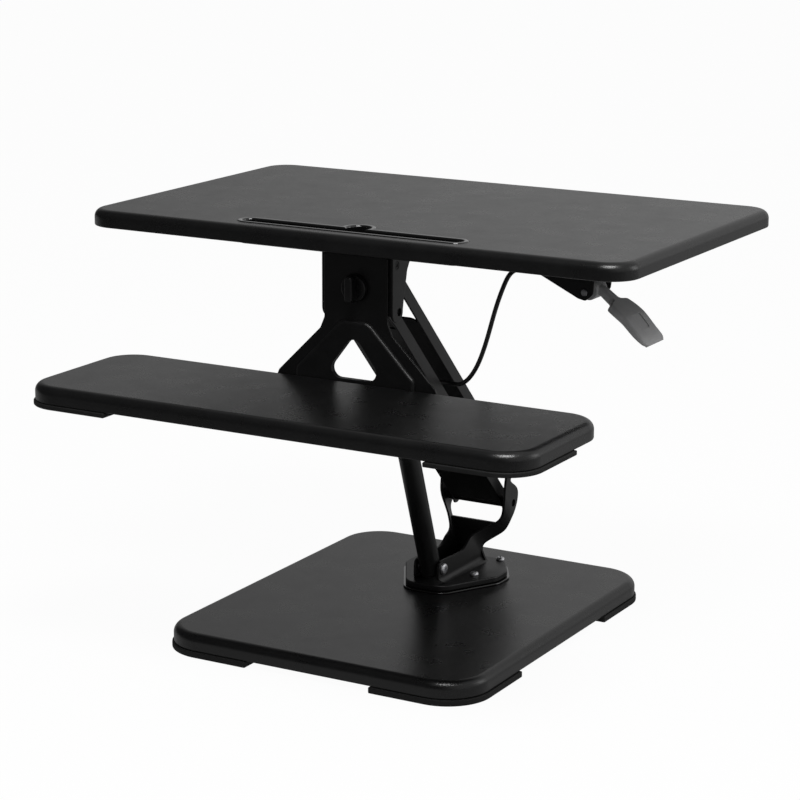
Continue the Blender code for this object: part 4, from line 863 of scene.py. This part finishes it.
# lever bracket: two side plates, a foot plate and a stop plate for the cable
px, py, pz = pivot["lever_pull"]
leverMount = {"half": 0.022, "tail": 0.081, "nose": 0.0125, "foot": 0.014, "sheet": 0.002, "stop": 0.0355,
              "cableUp": 0.019, "pin": 0.0035, "pinProud": 0.0012, "hub": 0.0095, "hubHalf": 0.012,
              "pinRound": ((0.001, 0), (0.0003, 0.0003), (0, 0.0008)), "ferrule": 0.0031,
              "ferruleRun": 0.0145, "ferruleOut": 0.0045, "collar": 0.0048, "collarRun": 0.006,
              "chamfer": 0.0005, "wire": 0.001, "wireRun": 0.0215, "cableHole": 0.0034}
sheet, wide = leverMount["sheet"], leverMount["half"]
tailX, noseX, stopX = px - leverMount["tail"], px + leverMount["nose"], px - leverMount["stop"]
sidePlate = [(tailX, plateTop - sheet / 2), (tailX, plateTop - 2 * sheet), (px - 0.007, pz - 0.0068),
             (px + 0.001, pz - 0.0085), (px + 0.009, pz - 0.002), (noseX, plateTop - 2 * sheet),
             (noseX, plateTop - sheet / 2)]
sidePlate = rounded(sidePlate, [0.0005, 0.001, 0.005, 0.004, 0.005, 0.001, 0.0005], 6)
footHalf = wide + leverMount["foot"]
footLine = rounded(rectangle(tailX - sheet, noseX + sheet, py - footHalf, py + footHalf), 0.007)
leverBracket = asObject("leverBracket", prism(footLine, plateTop - sheet, plateTop, "Z", 0.0004, 2))
cableZ = pz + leverMount["cableUp"]
stopPlate = rectangle(py - wide + sheet / 4, py + wide - sheet / 4, cableZ - 0.0093, plateTop - sheet / 2)
fuse(leverBracket, *[prism(sidePlate, *sorted((py + side * wide, py + side * (wide - sheet))), "Y", 0.0005, 2)
                     for side in (-1, 1)], prism(stopPlate, stopX, stopX + sheet, "X"))
leverSpots = [(x, py + side * (wide + leverMount["foot"] / 2))
              for x in (tailX + leverMount["foot"], noseX - leverMount["foot"] / 2) for side in (-1, 1)]
leverHole = leverMount["pin"] + gap


def leverBore(reach=0.05):
    return prism(circle((px, pz), leverHole), py - reach, py + reach, "Y")


cableHole = prism(circle((py, cableZ), leverMount["cableHole"]), stopX - 0.003, stopX + 0.006, "X")
cut(leverBracket, leverBore(), cableHole, *screwHoles(leverSpots, plateTop - sheet, plateTop))
finishPiece(leverBracket, "desk")
pinEnd = [(leverMount["pin"] - inset, deep) for inset, deep in leverMount["pinRound"]]
pinProfile = spindle(wide + leverMount["pinProud"], (0, 0), *pinEnd)
leverPin = moved(lathe(pinProfile), Matrix.Translation((px, py, pz)) @ alongY)
finishPiece(asObject("leverPin", leverPin), "desk")
r, collar, wire, chamfer = [leverMount[key] for key in ("ferrule", "collar", "wire", "chamfer")]
low, collarLow = stopX - leverMount["ferruleRun"], stopX - leverMount["collarRun"]
ferruleEnd, wireEnd = stopX + leverMount["ferruleOut"], stopX + leverMount["wireRun"]
ferruleProfile = [(0, low), (r - chamfer, low), (r, low + chamfer), (r, collarLow),
                  (collar - chamfer, collarLow), (collar, collarLow + chamfer), (collar, stopX - gap),
                  (r, stopX - gap), (r, ferruleEnd), (wire, ferruleEnd + wire), (wire, wireEnd), (0, wireEnd)]
ferrule = moved(lathe(ferruleProfile, 32), Matrix.Translation((0, py, cableZ)) @ alongX)
finishPiece(asObject("cableFerrule", ferrule), "desk")
print("lever bracket made")

# lever: hub, neck and a paddle that slopes down and out; rows give top face, half width and thickness
leverRows = [(0.003, 0.008, 0.006, 0.009), (0.0124, 0.0033, 0.006, 0.009), (0.021, -0.0032, 0.0068, 0.009),
             (0.0262, -0.0070, 0.0085, 0.009), (0.0290, -0.0090, 0.0190, 0.009),
             (0.0320, -0.0110, 0.0212, 0.009), (0.039, -0.0157, 0.023, 0.0085),
             (0.0475, -0.0223, 0.0235, 0.008), (0.0588, -0.0345, 0.0235, 0.007),
             (0.0675, -0.0432, 0.022, 0.0055), (0.0702, -0.0475, 0.0185, 0.004)]
leverPad = {"run": 0.009, "half": 0.010, "deep": 0.0008, "clear": 0.009, "along": 0.4}  # the bare recess


def paddleSection(halfWide, thick):
    corner = min(0.42 * thick, 0.003)
    return rounded(rectangle(-halfWide, halfWide, 0, thick), corner, 5)


fineRows = spline([Vector(row) for row in leverRows], 5, passThrough)
rings = []
for i, (x, z, halfWide, thick) in enumerate(fineRows):
    after, before = fineRows[min(i + 1, len(fineRows) - 1)], fineRows[max(i - 1, 0)]
    way = Vector((after[0] - before[0], after[1] - before[1])).normalized()
    rings.append([(px + x + way.y * deep, py + y, pz + z - way.x * deep)
                  for y, deep in paddleSection(halfWide, thick)])
lever = asObject("releaseLever", loft(rings))
hubHalf = leverMount["hubHalf"]
fuse(lever, prism(circle((px, pz), leverMount["hub"], 56), py - hubHalf, py + hubHalf, "Y", 0.0008))
cut(lever, leverBore())
near, far = [Vector((px + row[0], py, pz + row[1])) for row in leverRows[7:9]]
slope = (far - near).normalized()
padLine = rounded(rectangle(-leverPad["run"], leverPad["run"], -leverPad["half"], leverPad["half"]), 0.002)
padPlace = Matrix((slope, Vector((0, 1, 0)), Vector((-slope.z, 0, slope.x)))).transposed().to_4x4()
padPlace = Matrix.Translation(near.lerp(far, leverPad["along"])) @ padPlace
cut(lever, moved(prism(padLine, -leverPad["deep"], leverPad["clear"]), padPlace))
finishPiece(lever, "lever", ["lever"])
print("lever made")

# pan-head screws with a cross recess, set on points by geometry nodes
screws = {"Head Radius": 0.005, "Head Height": 0.0032, "Shank Radius": 0.0024, "Recess": 0.58, "Crown": 0.42}
shankLengths = {"base": 0.0191, "desk": 0.0138, "tray": 0.0138, "lever": 0.0133}


def screwTree():
    tree = bpy.data.node_groups.new("panHeadScrews", "GeometryNodeTree")
    numbers = [(label, "Float") for label in [*screws, "Shank Length", "Flip"]]
    for label, kind in [("Points", "Geometry"), *numbers, ("Seed", "Int"), ("Screws", "Geometry")]:
        way = "OUTPUT" if label == "Screws" else "INPUT"
        tree.interface.new_socket(label, in_out=way, socket_type="NodeSocket" + kind)
    link = tree.links.new
    node, sums = partial(addNode, tree), partial(maths, tree)
    given = tree.nodes.new("NodeGroupInput").outputs

    def triple(x, y, z):
        return node("ShaderNodeCombineXYZ", X=x, Y=y, Z=z).outputs[0]

    def raised(mesh, z):
        return node("GeometryNodeTransform", Geometry=mesh, Translation=triple(0.0, 0.0, z)).outputs[0]

    radius, height = given["Head Radius"], given["Head Height"]
    halfHeight = sums("MULTIPLY", height, 0.5)
    head = node("GeometryNodeMeshCylinder", Vertices=40, Side_Segments=8, Radius=radius, Depth=height)
    spot = node("GeometryNodeInputPosition").outputs[0]
    parts = node("ShaderNodeSeparateXYZ", Vector=spot).outputs
    share = sums("ADD", sums("DIVIDE", parts["Z"], height), 0.5)
    draw = sums("SUBTRACT", 1.0, sums("MULTIPLY", sums("POWER", share, 3.0), given["Crown"]))
    drawn = [sums("MULTIPLY", parts[axis], draw) for axis in "XY"]
    domed = node("GeometryNodeSetPosition", Geometry=head.outputs["Mesh"],
                 Position=triple(*drawn, parts["Z"]))
    shank = node("GeometryNodeMeshCylinder", Vertices=24, Radius=given["Shank Radius"],
                 Depth=given["Shank Length"])
    drop = sums("MULTIPLY", sums("SUBTRACT", given["Shank Length"], 0.0004), -0.5)
    lowered = raised(shank.outputs["Mesh"], sums("SUBTRACT", drop, halfHeight))
    whole = node("GeometryNodeMeshBoolean", {"operation": "UNION", "solver": "EXACT"})
    for piece in (domed.outputs[0], lowered):
        link(piece, whole.inputs["Mesh 2"])
    span = sums("MULTIPLY", sums("MULTIPLY", radius, given["Recess"]), 2.0)
    slit = sums("MULTIPLY", radius, 0.26)  # the recess's width
    crossed = node("GeometryNodeMeshBoolean", {"operation": "DIFFERENCE", "solver": "EXACT"})
    link(whole.outputs[0], crossed.inputs["Mesh 1"])
    for x, y in ((span, slit), (slit, span)):
        blade = node("GeometryNodeMeshCube", Size=triple(x, y, height))
        link(raised(blade.outputs["Mesh"], halfHeight), crossed.inputs["Mesh 2"])
    anyTurn = node("FunctionNodeRandomValue", {"data_type": "FLOAT"})
    anyTurn.inputs[3].default_value = 2 * pi
    link(given["Seed"], anyTurn.inputs["Seed"])
    facing = node("FunctionNodeEulerToRotation", Euler=triple(given["Flip"], 0.0, anyTurn.outputs[1]))
    placed = node("GeometryNodeInstanceOnPoints", Points=given["Points"], Rotation=facing.outputs[0],
                  Instance=raised(crossed.outputs[0], halfHeight))
    real = node("GeometryNodeRealizeInstances", Geometry=placed.outputs[0])
    dressed = node("GeometryNodeSetMaterial", Geometry=real.outputs[0], Material=looks["zinc"])
    link(dressed.outputs[0], tree.nodes.new("NodeGroupOutput").inputs["Screws"])
    return tree


screwNodes = screwTree()
screwSockets = {item.name: item.identifier for item in screwNodes.interface.items_tree
                if item.in_out == "INPUT"}


def addScrews(part, body, spots, seatZ, flip=pi):
    name = part + "Screws"
    points = bpy.data.meshes.new(name)
    points.from_pydata([(x, y, seatZ) for x, y in spots], [], [])
    made = bpy.data.objects.new(name, points)
    scene.collection.objects.link(made)
    grow = made.modifiers.new("screws", "NODES")
    grow.node_group = screwNodes
    for label, value in {**screws, "Shank Length": shankLengths[part], "Flip": flip, "Seed": 7}.items():
        grow[screwSockets[label]] = value
    settle(made)
    finishPiece(made, body, [part + "_screw_" + str(i) for i in range(1, 5)], 30)


addScrews("base", "base", screwSpots, flangeTop + gap, 0.0)
addScrews("desk", "desk", mountSpots, plateLow - gap)
addScrews("tray", "desk", traySpots, shelfLow - gap)
addScrews("lever", "desk", leverSpots, plateTop - sheet - gap)
print("screws set")

# floor and world: white to the camera, dimmer to mirrors and most so in front, with the floor's shadow kept
stage = {"white": 0.96, "shade": 0.80, "fill": 0.44, "floorSize": 30, "floorDrop": 0.0005, "floorRough": 0.9,
         "floorGloss": (0.04, 0.32), "floorWay": (0, 1, 0), "floorReach": (-1.3, -0.1),
         "skyGloss": (0.04, 0.49), "skyWay": (1.2, 1, 0), "skyReach": (-0.6, 0.45)}
lamps = {"overhead": {"place": (0.70, -1.00, 2.45), "aim": (0.1, 0, 0.3), "size": (1.10, 0.70), "power": 46},
         "rightSide": {"place": (2.4, 1.4, 1.2), "aim": (0, 0, 0.3), "size": (1.2, 1.4), "power": 9}}


def raySwitch(tree, gloss=1.0):  # 1 for camera and transmission rays, the given share for glossy ones
    rays = addNode(tree, "ShaderNodeLightPath").outputs
    straight = maths(tree, "MAXIMUM", rays["Is Camera Ray"], rays["Is Transmission Ray"])
    return maths(tree, "MAXIMUM", straight, maths(tree, "MULTIPLY", rays["Is Glossy Ray"], gloss))


def glossShare(tree, space, part):  # rises along a direction, from the first share to the second
    along = addNode(tree, "ShaderNodeVectorMath", {"operation": "DOT_PRODUCT"})
    tree.links.new(addNode(tree, "ShaderNodeTexCoord").outputs[space], along.inputs[0])
    along.inputs[1].default_value = stage[part + "Way"]
    return mapRange(tree, along.outputs["Value"], stage[part + "Reach"], stage[part + "Gloss"])


def mixTo(tree, output, share, first, second):
    mixed = addNode(tree, "ShaderNodeMixShader", Fac=share)
    tree.links.new(first.outputs[0], mixed.inputs[1])
    tree.links.new(second.outputs[0], mixed.inputs[2])
    tree.links.new(mixed.outputs[0], tree.nodes[output].inputs["Surface"])


floorMesh = bmesh.new()
bmesh.ops.create_grid(floorMesh, x_segments=1, y_segments=1, size=stage["floorSize"])
floor = asObject("floor", floorMesh)
floor.location.z = -stage["floorDrop"]
floorLook = bpy.data.materials.new("paleFloor")
floorLook.use_nodes = True
tree = floorLook.node_tree
matt = tree.nodes["Principled BSDF"]
matt.inputs["Base Color"].default_value = (stage["shade"], stage["shade"], stage["shade"], 1)
matt.inputs["Roughness"].default_value = stage["floorRough"]
glow = addNode(tree, "ShaderNodeEmission", Strength=raySwitch(tree, glossShare(tree, "Object", "floor")))
mixTo(tree, "Material Output", maths(tree, "MULTIPLY", raySwitch(tree), stage["white"]), matt, glow)
floor.data.materials.append(floorLook)

for name, lamp in lamps.items():
    light = bpy.data.lights.new(name, "AREA")
    light.shape = "RECTANGLE"
    light.size, light.size_y = lamp["size"]
    light.energy = lamp["power"]
    softBox = bpy.data.objects.new(name, light)
    softBox.location = lamp["place"]
    softBox.rotation_euler = (Vector(lamp["aim"]) - Vector(lamp["place"])).to_track_quat("-Z", "Y").to_euler()
    scene.collection.objects.link(softBox)

world = bpy.data.worlds.new("studio")
world.use_nodes = True
tree = world.node_tree
seen = tree.nodes["Background"]
seen.inputs["Color"].default_value = (1, 1, 1, 1)
setSocket(tree, seen.inputs["Strength"], raySwitch(tree, glossShare(tree, "Generated", "sky")))
fill = addNode(tree, "ShaderNodeBackground", Color=(1, 1, 1, 1), Strength=stage["fill"])
mixTo(tree, "World Output", raySwitch(tree), fill, seen)
scene.world = world
scene.view_settings.view_transform = "Standard"
print("stage and light set")
